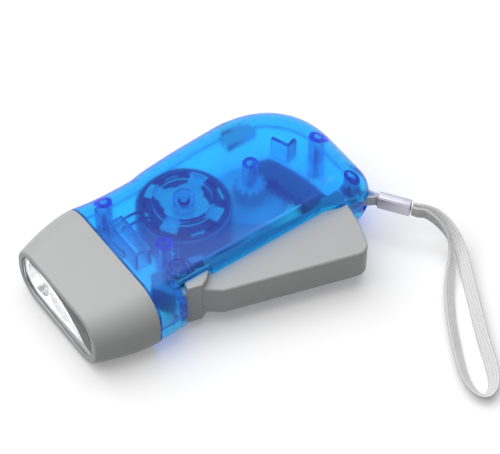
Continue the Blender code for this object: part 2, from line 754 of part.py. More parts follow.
def lever_slot(name, low, high, front, rear_clearance):
    # The opening that the lever swings through: straight at its front, an arc about the pivot at its rear.
    inner = PIVOT_Y
    outline = [(front, inner), (front, -BODY_HALF_WIDTH - CUT_OVERRUN)]
    start = math.atan2(-BODY_HALF_WIDTH - CUT_OVERRUN - PIVOT_Y, LEVER_TAIL_RADIUS)
    for i in range(CORNER_STEPS * 2 + 1):
        angle = start * (1 - i / (CORNER_STEPS * 2))
        outline.append(polar(LEVER_TAIL_RADIUS + rear_clearance, angle, pivot).to_2d())
    return flat(name, [outline], low, high, housing)


slot_front_x = PIVOT_X - LEVER_BLOCK_FACE * math.sin(LEVER_REST_ANGLE) - GAP
block_slot_end_x = PIVOT_X + LEVER_BLOCK_RADIUS - GAP


def cut_nose_room(shell, prefix):
    # Room for the lever's nose and hub to turn past the front corner's end wall.
    cut(shell, rod(
        prefix + "_nose_room", LEVER_BLOCK_FACE + GAP, block_z - RUN_GAP, lever_top + RUN_GAP, housing,
        centre=(PIVOT_X, PIVOT_Y), sides=ROUND_SIDES))


def cut_lever_slots(shell, prefix):
    cut(shell, lever_slot(prefix + "_slot", lever_z - RUN_GAP, lever_top + RUN_GAP, slot_front_x, GAP * 2))
    inner, outer = PIVOT_Y, -BODY_HALF_WIDTH - CUT_OVERRUN
    outline = [
        (slot_front_x, inner), (slot_front_x, outer), (block_slot_end_x, outer), (block_slot_end_x, inner)]
    cut(shell, flat(prefix + "_block_slot", [outline], block_z - RUN_GAP, block_top + RUN_GAP, housing))


strap_direction = Vector((FERRULE_START_X - STRAP_POST_X, FERRULE_START_Y - STRAP_POST_Y, 0)).normalized()
strap_bearing = math.atan2(strap_direction.y, strap_direction.x)
strap_slot_width = (STRAP_POST_RADIUS + STRAP_THICKNESS + GAP) * 2


def cut_strap_slot(shell, prefix):
    half_height = STRAP_WIDTH / 2 + GAP
    reach = Vector((FERRULE_START_X - STRAP_POST_X, FERRULE_START_Y - STRAP_POST_Y, 0)).length
    cut(shell, block(
        prefix + "_strap_slot", (STRAP_POST_RADIUS, -strap_slot_width / 2, strap_z - half_height),
        (reach, strap_slot_width / 2, strap_z + half_height), housing,
        turn=strap_bearing, centre=(STRAP_POST_X, STRAP_POST_Y)))


def upper_post(shell, name, x, y, radius, bottom, bore, bore_depth):
    post = rod(name, radius, bottom, ceiling_z + JOIN_OVERLAP, housing, centre=(x, y), sides=20)
    join_inside(shell, post, bpy.data.objects["upper_envelope"])
    cut(shell, rod(name + "_bore", bore, bottom - JOIN_OVERLAP, bottom + bore_depth, housing, centre=(x, y)))


def lower_post(shell, name, x, y, radius, top, bore, bore_depth):
    post = rod(name, radius, floor_z - JOIN_OVERLAP, top, housing, centre=(x, y), sides=20)
    join_inside(shell, post, bpy.data.objects["lower_envelope"])
    cut(shell, rod(name + "_bore", bore, top - bore_depth, top + JOIN_OVERLAP, housing, centre=(x, y)))


def rib(shell, name, start, end, bottom):
    # A thin wall that hangs from the ceiling between two points.
    along = end - start
    half = RIB_THICKNESS / 2
    join(shell, block(
        name, (-half, -half, bottom), (along.length + half, half, ceiling_z + JOIN_OVERLAP), housing,
        turn=math.atan2(along.y, along.x), centre=(start.x, start.y)))


def make_upper_shell():
    shell = half_shell("upper_shell", 1)
    cut_nose_room(shell, "upper")
    half_envelope("upper_envelope", 1)
    join(shell, neck(1, "upper_neck"))
    for name, x, y, radius in screw_posts:
        upper_post(
            shell, "upper_post_" + name, x, y, radius, mid_z + GAP / 2,
            SCREW_SHANK_RADIUS + GAP, SCREW_SEAT_HEIGHT + SCREW_LENGTH - mid_z + GAP)
    upper_post(
        shell, "first_shaft_boss", first_centre.x, first_centre.y, SHAFT_TOP_BOSS_RADIUS,
        first_pinion_top + RUN_GAP, SHAFT_RADIUS + GAP, SHAFT_HOLD + GAP)
    upper_post(
        shell, "lever_pin_boss", PIVOT_X, PIVOT_Y, PIVOT_TOP_BOSS_RADIUS,
        spring_recess_z + RUN_GAP, PIVOT_PIN_RADIUS + GAP, pin_top - spring_recess_z)
    upper_post(
        shell, "rotor_hub_boss", ROTOR_X, ROTOR_Y, HUB_BOSS_RADIUS,
        top_plate_top + GAP, SHAFT_RADIUS + GAP, rotor_shaft_top - top_plate_top)
    ring = flat(
        "stator_ring_rib", [
            circle(RING_RIB_RADIUS + RIB_THICKNESS / 2, centre=(ROTOR_X, ROTOR_Y)),
            circle(RING_RIB_RADIUS - RIB_THICKNESS / 2, centre=(ROTOR_X, ROTOR_Y))],
        top_plate_top + GAP, ceiling_z + JOIN_OVERLAP, housing)
    join(shell, ring)
    vee = Vector((VEE_X, VEE_Y, 0))
    rib(shell, "vee_long", vee, polar(VEE_LONG_ARM, VEE_LONG_BEARING, vee), ceiling_z - VEE_DEPTH)
    rib(shell, "vee_short", vee, polar(VEE_SHORT_ARM, VEE_SHORT_BEARING, vee), ceiling_z - VEE_DEPTH)
    well = flat(
        "well_ribs", [rectangle(WELL_WIDTH, WELL_LENGTH, WELL_X, WELL_Y),
                      rectangle(WELL_WIDTH - RIB_THICKNESS * 2, WELL_LENGTH - RIB_THICKNESS * 2, WELL_X, WELL_Y)],
        ceiling_z - WELL_DEPTH, ceiling_z + JOIN_OVERLAP, housing)
    join(shell, well)
    stop = polar(SPRING_RADIUS + SPRING_LEG_LENGTH / 2, spring_stop_angle, pivot)
    join(shell, rod(
        "spring_stop", SPRING_STOP_RADIUS, block_top + GAP, ceiling_z + JOIN_OVERLAP, housing,
        centre=(stop.x, stop.y), sides=12))
    cut_lever_slots(shell, "upper")
    cut_strap_slot(shell, "upper")
    cut(shell, block(
        "switch_window", (SWITCH_X - slider_room / 2, switch_back_y, slider_z - SLIDER_HEIGHT / 2 - GAP),
        (SWITCH_X + slider_room / 2, switch_back_y + CUT_OVERRUN, slider_z + SLIDER_HEIGHT / 2 + GAP), housing))
    return shell


def rectangle(width, length, x=0.0, y=0.0):
    return [(x + sx * width / 2, y + sy * length / 2) for sx, sy in ((-1, -1), (1, -1), (1, 1), (-1, 1))]


def make_lower_shell():
    shell = half_shell("lower_shell", -1)
    cut_nose_room(shell, "lower")
    half_envelope("lower_envelope", -1)
    join(shell, neck(-1, "lower_neck"))
    for name, x, y, radius in screw_posts:
        top = mid_z - GAP / 2
        lower_post(shell, "lower_post_" + name, x, y, radius, top, SCREW_SHANK_RADIUS + GAP, top)
        cut(shell, rod(
            "screw_seat_" + name, SCREW_HEAD_RADIUS + GAP, -JOIN_OVERLAP, SCREW_SEAT_HEIGHT, housing,
            centre=(x, y)))
    lower_post(
        shell, "first_shaft_seat", first_centre.x, first_centre.y, GEAR_BOSS_RADIUS,
        mid_gear_z - RUN_GAP, SHAFT_RADIUS + GAP, mid_gear_z - RUN_GAP - PIN_SEAT_DEPTH)
    lower_post(
        shell, "lever_pin_seat", PIVOT_X, PIVOT_Y, PIVOT_LOW_BOSS_RADIUS,
        block_z - RUN_GAP, PIVOT_PIN_RADIUS + GAP, block_z - RUN_GAP - PIN_SEAT_DEPTH)
    for name, centre in (("second_pin", second_centre), ("rotor_shaft", rotor_centre)):
        cut(shell, rod(
            name + "_seat", SHAFT_RADIUS + GAP, PIN_SEAT_DEPTH, floor_z + JOIN_OVERLAP, housing,
            centre=(centre.x, centre.y)))
    cut_lever_slots(shell, "lower")
    cut_strap_slot(shell, "lower")
    return shell


# Head, lens, reflector and lamps

def make_head():
    rings = []
    for share, taper in head_taper_shares:
        rings.append([(head_x(share), y, z) for y, z in section(*head_size(taper))])
    half_width, half_height, corner = head_size(1.0)
    for i in range(1, 4):
        angle = math.pi / 2 * i / 3
        inset = LIP_ROUNDING * (1 - math.cos(angle))
        x = front_x + LIP_ROUNDING * (1 - math.sin(angle))
        rings.append([(x, y, z) for y, z in section(half_width - inset, half_height - inset, corner - inset)])
    opening = (LENS_OPENING_HALF_WIDTH, LENS_OPENING_HALF_HEIGHT, LENS_OPENING_CORNER)
    wider = [size + LIP_ROUNDING / 2 for size in opening]
    rings.append([(front_x, y, z) for y, z in section(*wider)])
    rings.append([(front_x + LIP_ROUNDING / 2, y, z) for y, z in section(*opening)])
    seat_x = front_x + LIP_THICKNESS
    rings.append([(seat_x, y, z) for y, z in section(*opening)])
    seat = [size + GAP for size in lens_size]
    rings.append([(seat_x, y, z) for y, z in section(*seat)])
    rings.append([(lens_back_x, y, z) for y, z in section(*seat)])
    for share, taper in reversed(head_taper_shares[:-1]):
        x = head_x(share)
        rings.append([(x, y, z) for y, z in section(*head_inner(x))])
    bm = loft(rings, closed_rings=True, close_last=True)
    bmesh.ops.recalc_face_normals(bm, faces=bm.faces)
    return add_mesh_object("head_bezel", mesh_from(bm, "head_bezel"), housing, GREY)


def lamp_places():
    return [(name, LAMP_PITCH * step) for name, step in (("near", -1), ("middle", 0), ("far", 1))]


def facing_front(x, y):
    # Turns a piece that is built up along Z so that it points out of the lamp.
    return Matrix.Translation((x, y, mid_z)) @ Matrix.Rotation(-math.pi / 2, 4, "Y")


def make_reflector():
    back = reflector_x + REFLECTOR_DEPTH + REFLECTOR_BACK
    size = [a - GAP for a in head_inner(reflector_x, GAP)]
    size = [min(a, b) for a, b in zip(size, lens_size)]
    tray = flat("reflector_tray", [section(*size)], reflector_x, back, housing, SILVER, turned_to_x=True)
    for name, y in lamp_places():
        # A bowl that narrows to the lamp's hole; heights run back from the mouth.
        profile = [(0, JOIN_OVERLAP), (CUP_MOUTH_RADIUS, JOIN_OVERLAP)]
        for i in range(CUP_STEPS + 1):
            depth = REFLECTOR_DEPTH * i / CUP_STEPS
            width = math.sqrt(1 - i / CUP_STEPS)
            profile.append((lamp_hole + (CUP_MOUTH_RADIUS - lamp_hole) * width, -depth))
        profile += [(lamp_hole, -REFLECTOR_DEPTH - REFLECTOR_BACK - JOIN_OVERLAP),
                    (0, -REFLECTOR_DEPTH - REFLECTOR_BACK - JOIN_OVERLAP)]
        cut(tray, turned("reflector_cup_" + name, profile, housing, place=facing_front(reflector_x, y)))
    return tray


lamp_hole = LAMP_RADIUS + GAP


def make_lamp(name, y):
    base = board_x - GAP
    straight = LAMP_LENGTH - LAMP_RADIUS
    profile = [(0, LAMP_LENGTH)]
    for i in range(1, 5):
        angle = math.pi / 2 * i / 4
        profile.append((LAMP_RADIUS * math.sin(angle), straight + LAMP_RADIUS * math.cos(angle)))
    profile += [(LAMP_RADIUS, LAMP_FLANGE_THICKNESS), (LAMP_FLANGE_RADIUS, LAMP_FLANGE_THICKNESS),
                (LAMP_FLANGE_RADIUS, 0), (0, 0)]
    return turned("lamp_" + name, profile, housing, LAMP, place=facing_front(base, y), sides=16)


def make_head_parts():
    make_head()
    flat("lens_window", [section(*lens_size)], front_x + LIP_THICKNESS + GAP, lens_back_x, housing, CLEAR, True)
    make_reflector()
    for name, y in lamp_places():
        make_lamp(name, y)
    board_size = head_inner(board_x, GAP)
    flat("lamp_board", [section(*board_size)], board_x, board_back_x, housing, BOARD, turned_to_x=True)
    cell = facing_front(board_back_x + GAP + CELL_THICKNESS, CELL_Y)
    turned(
        "charge_cell", [(0, CELL_THICKNESS), (CELL_RADIUS, CELL_THICKNESS), (CELL_RADIUS, 0), (0, 0)],
        housing, STEEL, place=cell)
    half = RECTIFIER_HEIGHT / 2
    block(
        "rectifier", (board_back_x + GAP, RECTIFIER_Y - RECTIFIER_LENGTH / 2, mid_z - half),
        (board_back_x + GAP + RECTIFIER_DEPTH, RECTIFIER_Y + RECTIFIER_LENGTH / 2, mid_z + half), housing, BLACK)


# Gear teeth

def involute(angle):
    return math.tan(angle) - angle


def tooth_half_angle(radius, teeth, module, width):
    pitch = teeth * module / 2
    base = pitch * math.cos(PRESSURE_ANGLE)
    local = math.acos(base / radius) if radius > base else 0
    return width / (2 * pitch) + involute(PRESSURE_ANGLE) - involute(local)


def gear_outline(teeth, module, addendum_share, flank_steps, turn):
    # A tooth points along turn.
    pitch = teeth * module / 2
    root, tip = pitch - module * dedendum_share, pitch + module * addendum_share
    width = math.pi * module * (0.5 - BACKLASH_SHARE)
    radii = [root + (tip - root) * i / flank_steps for i in range(flank_steps + 1)]
    flank = [(radius, tooth_half_angle(radius, teeth, module, width)) for radius in radii]
    points = []
    for tooth in range(teeth):
        middle = turn + 2 * math.pi * tooth / teeth
        points += [(r * math.cos(middle - a), r * math.sin(middle - a)) for r, a in flank]
        points += [(r * math.cos(middle + a), r * math.sin(middle + a)) for r, a in reversed(flank)]
    return points


def bearing(start, end):
    return math.atan2(end.y - start.y, end.x - start.x)


def half_tooth(teeth):
    return math.pi / teeth


first_pinion_z = mid_gear_top + GAP
first_pinion_top = rack_top + GAP


def make_gears():
    bore = circle(SHAFT_RADIUS + GAP, SMALL_SIDES)
    flat(
        "rack_pinion", [gear_outline(
            RACK_PINION_TEETH, RACK_MODULE, pinion_addendum_share, 4, RACK_PINION_BEARING), bore],
        first_pinion_z, first_pinion_top, first_frame, NYLON)
    flat(
        "first_gear", [gear_outline(
            TRAIN_GEAR_TEETH, TRAIN_MODULE, gear_addendum_share, 1, bearing(first_centre, second_centre)), bore],
        mid_gear_z, mid_gear_top, first_frame, NYLON)
    rod(
        "first_gear_shaft", SHAFT_RADIUS, PIN_SEAT_DEPTH + GAP, first_pinion_top + RUN_GAP + SHAFT_HOLD,
        first_frame, STEEL)

    second_pinion = gear_outline(
        TRAIN_PINION_TEETH, TRAIN_MODULE, pinion_addendum_share, 3,
        bearing(second_centre, first_centre) + half_tooth(TRAIN_PINION_TEETH))
    second_gear = flat(
        "second_gear", [gear_outline(
            TRAIN_GEAR_TEETH, TRAIN_MODULE, gear_addendum_share, 1, bearing(second_centre, rotor_centre))],
        low_gear_z, low_gear_z + GEAR_FACE, second_frame, NYLON)
    join(second_gear, flat(
        "second_pinion", [second_pinion], low_gear_z + GEAR_FACE / 2, mid_gear_top, second_frame))
    cut(second_gear, rod(
        "second_gear_bore", SHAFT_RADIUS + GAP, low_gear_z - JOIN_OVERLAP, mid_gear_top + JOIN_OVERLAP,
        second_frame))
    rod(
        "second_gear_pin", SHAFT_RADIUS, PIN_SEAT_DEPTH + GAP, mid_gear_top + GAP, housing, STEEL,
        centre=(second_centre.x, second_centre.y))

    rotor_pinion = flat(
        "rotor_pinion", [gear_outline(
            TRAIN_PINION_TEETH, TRAIN_MODULE, pinion_addendum_share, 3,
            bearing(rotor_centre, second_centre) + half_tooth(TRAIN_PINION_TEETH)), bore],
        low_gear_z, low_gear_z + GEAR_FACE, rotor_frame, NYLON)
    join(rotor_pinion, flat(
        "rotor_sleeve", [circle(ROTOR_SLEEVE_RADIUS, SMALL_SIDES), bore],
        low_gear_z + GEAR_FACE / 2, cup_z - GAP, rotor_frame))


# Dynamo

rotor_shaft_top = top_plate_top + GAP + PIN_SEAT_DEPTH


def claw_plate(name, low, turn, waist_radius):
    # A square plate with scalloped corners and four arms.
    points = []
    arm = math.asin(POLE_WIDTH / 2 / pole_radius)
    for i in range(PLATE_COUNT):
        middle = turn + 2 * math.pi * i / PLATE_COUNT
        points += [polar(pole_radius, middle - arm).to_2d(), polar(pole_radius, middle + arm).to_2d()]
        scallop = middle + math.pi / PLATE_COUNT
        for share in (-0.62, -0.3, 0.0, 0.3, 0.62):
            depth = waist_radius * (1 - scallop_radius_share * (1 - abs(share)) ** 2 / 2)
            points.append(polar(depth, scallop + share * math.pi / PLATE_COUNT).to_2d())
    return flat(
        name, [points, circle(SHAFT_RADIUS + RIB_THICKNESS, SMALL_SIDES)], low, low + PLATE_THICKNESS,
        stator_frame, ZINC)


stator_frame = add_empty("stator_centre", rotor_centre)


def add_poles(plate, turn, low, high, width, prefix):
    for i in range(PLATE_COUNT):
        join(plate, block(
            prefix + str(i), (pole_radius - POLE_WALL, -width / 2, low), (pole_radius, width / 2, high),
            stator_frame, turn=turn + 2 * math.pi * i / PLATE_COUNT))


def make_dynamo():
    top_z = top_plate_top - PLATE_THICKNESS
    waist = pole_radius * (1 - plate_waist_share)
    top_plate = claw_plate("stator_top_plate", top_z, PLATE_TURN, waist)
    add_poles(top_plate, PLATE_TURN, bobbin_z + BOBBIN_FLANGE, top_z + PLATE_THICKNESS / 2, CLAW_WIDTH, "top_pole_")
    low_turn = PLATE_TURN + math.pi / PLATE_COUNT
    low_plate = claw_plate("stator_bottom_plate", low_plate_z, low_turn, waist)
    add_poles(low_plate, low_turn, low_plate_z + PLATE_THICKNESS / 2, top_z - GAP, CLAW_WIDTH, "low_pole_")

    inner = SHAFT_RADIUS + GAP * 2
    turned(
        "coil_bobbin", [
            (inner, bobbin_top), (bobbin_radius, bobbin_top), (bobbin_radius, bobbin_top - BOBBIN_FLANGE),
            (BOBBIN_CORE_RADIUS, bobbin_top - BOBBIN_FLANGE), (BOBBIN_CORE_RADIUS, bobbin_z + BOBBIN_FLANGE),
            (bobbin_radius, bobbin_z + BOBBIN_FLANGE), (bobbin_radius, bobbin_z), (inner, bobbin_z),
            (inner, bobbin_top)], stator_frame, BLACK)
    coil_top, coil_low = bobbin_top - BOBBIN_FLANGE - GAP, bobbin_z + BOBBIN_FLANGE + GAP
    coil_inner, coil_outer = BOBBIN_CORE_RADIUS + GAP, bobbin_radius - COIL_MARGIN
    turned(
        "coil_winding", [
            (coil_inner, coil_top), (coil_outer, coil_top), (coil_outer, coil_low), (coil_inner, coil_low),
            (coil_inner, coil_top)], stator_frame, COPPER)

    cup_inner = CUP_RADIUS - CUP_WALL
    hub = SHAFT_RADIUS + GAP
    turned(
        "flywheel_cup", [
            (cup_inner, cup_top), (CUP_RADIUS, cup_top), (CUP_RADIUS, cup_z), (hub, cup_z),
            (hub, cup_z + CUP_FLOOR), (cup_inner, cup_z + CUP_FLOOR), (cup_inner, cup_top)],
        rotor_frame, IRON, sides=48)
    magnet_low = cup_z + CUP_FLOOR + GAP
    turned(
        "magnet_ring", [
            (magnet_inner, cup_top), (magnet_outer, cup_top), (magnet_outer, magnet_low),
            (magnet_inner, magnet_low), (magnet_inner, cup_top)], rotor_frame, MAGNET, sides=48)
    rod("rotor_shaft", SHAFT_RADIUS, PIN_SEAT_DEPTH + GAP, rotor_shaft_top, rotor_frame, STEEL)


# Lever and its spring. The lever is drawn about its pivot with its outer face along X, as when squeezed flat.

def lever_inner_edge():
    return [(LEVER_TAIL_RADIUS * x, LEVER_TAIL_RADIUS * math.sin(LEVER_INNER_ANGLE) * y)
            for x, y in lever_inner_shares]


def make_lever():
    corner_x = math.sqrt((LEVER_TAIL_RADIUS - LEVER_TAIL_CORNER) ** 2
                         - (LEVER_OUTER_FACE - LEVER_TAIL_CORNER) ** 2)
    corner = (corner_x, LEVER_TAIL_CORNER - LEVER_OUTER_FACE)
    corner_end = math.atan2(corner[1], corner[0])
    face = LEVER_BLOCK_FACE - GAP
    outline = [(-LEVER_NOSE_X, -LEVER_NOSE_Y)]
    outline += arc((0, 0), face, LEVER_NOSE_START, math.pi * 1.5, CORNER_STEPS)
    outline += [(LEVER_FLARE_START, -face), (LEVER_FLARE_END, -LEVER_OUTER_FACE)]
    outline += arc(corner, LEVER_TAIL_CORNER, -math.pi / 2, corner_end, CORNER_STEPS)
    outline += arc((0, 0), LEVER_TAIL_RADIUS, corner_end, LEVER_INNER_ANGLE, CORNER_STEPS)[1:]
    outline += reversed(lever_inner_edge())
    outline += [(LEVER_FLARE_START, LEVER_BLOCK_INNER), (-LEVER_BLOCK_RADIUS + LEVER_WALL, LEVER_BLOCK_INNER)]
    lever = eased("squeeze_lever", outline, lever_z, lever_top, EDGE_BREAK, lever_frame, GREY)

    # The thick front block, flat on its outer face and round towards the housing
    reach = math.asin(LEVER_BLOCK_FACE / LEVER_BLOCK_RADIUS)
    inner = math.asin(LEVER_BLOCK_INNER / LEVER_BLOCK_RADIUS)
    front_block = [(LEVER_BLOCK_FRONT, LEVER_BLOCK_INNER), (LEVER_BLOCK_FRONT, -LEVER_BLOCK_FACE)]
    front_block += arc((0, 0), LEVER_BLOCK_RADIUS, -reach, inner, CORNER_STEPS)
    join(lever, flat("lever_block", [front_block], block_z, block_top, lever_frame))
    join(lever, rod("lever_hub", PIVOT_HUB_RADIUS, block_z, spring_recess_z, lever_frame, sides=24))

    # The rack on the inside of the arm that goes on from the lever's tail
    local = RACK_PINION_BEARING + LEVER_REST_ANGLE
    tip_angle = local + RACK_OVERRUN
    arm = arc((0, 0), RACK_BACK_RADIUS, RACK_ROOT_ANGLE, tip_angle - RACK_TIP_SLOPE, CORNER_STEPS * 2)
    arm.append(polar(RACK_TIP_RADIUS, tip_angle).to_2d())
    crest = rack_pitch_radius - RACK_MODULE * rack_addendum_share
    root = rack_pitch_radius + RACK_MODULE * dedendum_share
    width = math.pi * RACK_MODULE * (0.5 + BACKLASH_SHARE)
    arm.append(polar(crest, tip_angle).to_2d())
    step = 2 * math.pi / RACK_TEETH
    for space in range(-1, int((local - RACK_ROOT_ANGLE - RACK_OVERRUN) / step)):
        middle = local - space * step
        for radius, sign in ((crest, 1), (root, 1), (root, -1), (crest, -1)):
            half = tooth_half_angle(radius, RACK_TEETH, RACK_MODULE, width)
            arm.append(polar(radius, middle + sign * half).to_2d())
    arm.append(polar(crest, RACK_ROOT_ANGLE).to_2d())
    join(lever, flat("lever_rack", [arm], rack_z, rack_top, lever_frame))

    # A moulded hollow that opens towards the housing
    low, high = (LEVER_TAIL_RADIUS * share for share in lever_pocket_shares)
    pocket = [(low, LEVER_WALL - LEVER_OUTER_FACE), (high, LEVER_WALL - LEVER_OUTER_FACE),
              (high, LEVER_TAIL_RADIUS / 2), (low, LEVER_TAIL_RADIUS / 2)]
    cut(lever, flat("lever_hollow", [pocket], lever_z + LEVER_WALL, lever_top - LEVER_WALL, lever_frame))
    cut(lever, rod(
        "spring_recess", SPRING_RECESS_RADIUS, spring_recess_z, block_top + JOIN_OVERLAP, lever_frame, sides=24))
    cut(lever, rod(
        "lever_pin_bore", PIVOT_PIN_RADIUS + GAP, block_z - JOIN_OVERLAP, block_top + JOIN_OVERLAP, lever_frame))
    half = SPRING_WIRE_RADIUS + GAP
    cut(lever, block(
        "spring_leg_groove", (0, -half, spring_recess_z), (SPRING_RADIUS + SPRING_LEG_LENGTH, half, block_top + GAP),
        lever_frame))
    return lever


pin_top = ceiling_z + GAP
spring_low_z = spring_recess_z + SPRING_WIRE_RADIUS + GAP
spring_top_z = block_top - GAP
spring_stop_angle = SPRING_TOP_LEG_ANGLE + (SPRING_STOP_RADIUS + SPRING_WIRE_RADIUS + GAP) / (
    SPRING_RADIUS + SPRING_LEG_LENGTH / 2)


def make_spring():
    # Wound about the pin, its low leg along the lever's groove and its top leg against the shell's stop.
    start = -LEVER_REST_ANGLE
    sweep = 2 * math.pi * SPRING_TURNS + SPRING_TOP_LEG_ANGLE - start
    count = int(SPRING_POINTS_PER_TURN * sweep / (2 * math.pi))
    points = [polar(SPRING_RADIUS + SPRING_LEG_LENGTH - GAP * 2, start) + Vector((0, 0, spring_low_z))]
    for i in range(count + 1):
        height = spring_low_z + (spring_top_z - spring_low_z) * i / count
        points.append(polar(SPRING_RADIUS, start + sweep * i / count) + Vector((0, 0, height)))
    points.append(polar(SPRING_RADIUS + SPRING_LEG_LENGTH, SPRING_TOP_LEG_ANGLE) + Vector((0, 0, spring_top_z)))
    gap = (spring_top_z - spring_low_z) * 2 * math.pi / sweep - SPRING_WIRE_RADIUS * 2
    print("return spring: least gap between turns", round(gap / MM, 2), "mm")
    tube("return_spring", [point + pivot for point in points], SPRING_WIRE_RADIUS, housing, STEEL, resolution=1)


# Screws, switch, wires and strap

def make_screws():
    for name, x, y, _ in screw_posts:
        head_z = SCREW_SEAT_HEIGHT - GAP - SCREW_HEAD_THICKNESS
        top = SCREW_SEAT_HEIGHT - GAP + SCREW_LENGTH
        profile = [(0, top), (SCREW_SHANK_RADIUS / 2, top), (SCREW_SHANK_RADIUS, top - SCREW_SHANK_RADIUS * 2),
                   (SCREW_SHANK_RADIUS, SCREW_SEAT_HEIGHT - GAP), (SCREW_HEAD_RADIUS, SCREW_SEAT_HEIGHT - GAP),
                   (SCREW_HEAD_RADIUS, head_z + SCREW_HEAD_THICKNESS / 3),
                   (SCREW_HEAD_RADIUS - SCREW_HEAD_THICKNESS / 3, head_z), (0, head_z)]
        screw = turned("screw_" + name, profile, housing, STEEL, place=Matrix.Translation((x, y, 0)), sides=20)
        for turn in (0.0, math.pi / 2):
            cut(screw, block(
                "screw_cross_%s_%d" % (name, round(turn)), (-SCREW_HEAD_RADIUS * 0.7, -SCREW_SLOT_WIDTH / 2, -GAP),
                (SCREW_HEAD_RADIUS * 0.7, SCREW_SLOT_WIDTH / 2, head_z + SCREW_SLOT_DEPTH), housing,
                turn=turn, centre=(x, y)))


def far_wall_y(x):
    # The body's widest far-side outline at x.
    side = [point for point in body_outline() if point.y > 0]
    for a, b in zip(side, side[1:]):
        if b.x <= x <= a.x:
            return b.y + (a.y - b.y) * (x - b.x) / (a.x - b.x)
    return BODY_HALF_WIDTH


switch_z = mid_z + SWITCH_LIFT
slider_z = switch_z + SWITCH_HEIGHT / 2
switch_back_y = min(far_wall_y(SWITCH_X - SWITCH_LENGTH / 2), far_wall_y(SWITCH_X + SWITCH_LENGTH / 2)) - WALL - GAP * 2
slider_room = SLIDER_WIDTH + SWITCH_TRAVEL + GAP * 2
slider_rest_x = SWITCH_X - SWITCH_TRAVEL / 2


def make_switch():
    left, right = SWITCH_X - SWITCH_LENGTH / 2, SWITCH_X + SWITCH_LENGTH / 2
    body = block(
        "switch_body", (left, switch_back_y - SWITCH_DEPTH, switch_z), (right, switch_back_y, switch_z + SWITCH_HEIGHT),
        housing, BLACK)
    cut(body, block(
        "slider_track", (SWITCH_X - slider_room / 2, switch_back_y - SWITCH_DEPTH / 2, slider_z - SLIDER_HEIGHT / 2 - GAP),
        (SWITCH_X + slider_room / 2, switch_back_y + GAP, slider_z + SLIDER_HEIGHT / 2 + GAP), housing))
    half = SLIDER_WIDTH / 2
    out = far_wall_y(SWITCH_X) + SLIDER_PROUD
    frame = add_empty("switch_slider_rest", (slider_rest_x, 0, 0))
    slider = block(
        "switch_slider", (-half, switch_back_y - SWITCH_DEPTH / 2 + GAP, slider_z - SLIDER_HEIGHT / 2),
        (half, out, slider_z + SLIDER_HEIGHT / 2), frame, BLACK)
    add_bevel(slider, SLIDER_HEIGHT / 8, segments=1)


def wire_routes():
    # Named from the pieces they join, over the flywheel's rim and down to the board.
    over = top_plate_top + GAP * 2
    coil_x = ROTOR_X - bobbin_radius + COIL_MARGIN
    rim = ROTOR_X - CUP_RADIUS
    board = board_back_x + GAP + WIRE_RADIUS
    post_gap = (FRONT_FAR_POST_Y - SCREW_POST_RADIUS + WELL_Y + WELL_LENGTH / 2) / 2
    behind_cell = board_back_x + GAP * 2 + CELL_THICKNESS + WIRE_RADIUS * 2
    past_cell = CELL_Y + CELL_RADIUS + WIRE_RADIUS * 3
    yield "coil_wire_a", RED, [
        (coil_x, ROTOR_Y + LAMP_RADIUS, over), (rim, ROTOR_Y + LAMP_RADIUS * 2, over - GAP),
        (WELL_X, post_gap + WIRE_RADIUS * 2, mid_z + LAMP_RADIUS), (behind_cell, past_cell, mid_z + LAMP_RADIUS),
        (board, past_cell, mid_z)]
    yield "coil_wire_b", BLACK, [
        (coil_x, ROTOR_Y, over), (rim, ROTOR_Y + LAMP_RADIUS, over - WIRE_RADIUS * 2 - GAP),
        (WELL_X, post_gap - WIRE_RADIUS * 2, mid_z), (behind_cell, CELL_Y, mid_z - WIRE_RADIUS),
        (behind_cell, 0, mid_z), (board, -LAMP_RADIUS / 2, mid_z)]


def make_wires():
    for name, material, route in wire_routes():
        tube(name, smooth_path(route, WIRE_STEPS), WIRE_RADIUS, housing, material, resolution=1)


def band(name, places, parent, material):
    # A flat braid along places of (x, y, z, lean): width upright, leaned outwards by the lean in radians.
    rings = []
    count = len(places)
    for i, (x, y, z, lean) in enumerate(places):
        a, b = places[max(i - 1, 0)], places[min(i + 1, count - 1)]
        along = Vector((b[0] - a[0], b[1] - a[1], b[2] - a[2])).normalized()
        side = along.cross(Vector((0, 0, 1))).normalized()
        up = side.cross(along)
        width = up * math.cos(lean) - side * math.sin(lean)
        across = side * math.cos(lean) + up * math.sin(lean)
        centre = Vector((x, y, z))
        rings.append([
            centre + width * (STRAP_WIDTH / 2 * sw) + across * (STRAP_THICKNESS / 2 * st)
            for sw, st in ((-1, -0.5), (-1, 0.5), (-0.9, 1), (0.9, 1), (1, 0.5), (1, -0.5), (0.9, -1), (-0.9, -1))])
    bm = loft(rings, closed_rings=True)
    bm.verts.ensure_lookup_table()
    sides = len(rings[0])
    bm.faces.new([bm.verts[i] for i in range(sides)])
    bm.faces.new([bm.verts[i] for i in range(len(bm.verts) - sides, len(bm.verts))])
    bmesh.ops.recalc_face_normals(bm, faces=bm.faces)
    return add_mesh_object(name, mesh_from(bm, name), parent, material)


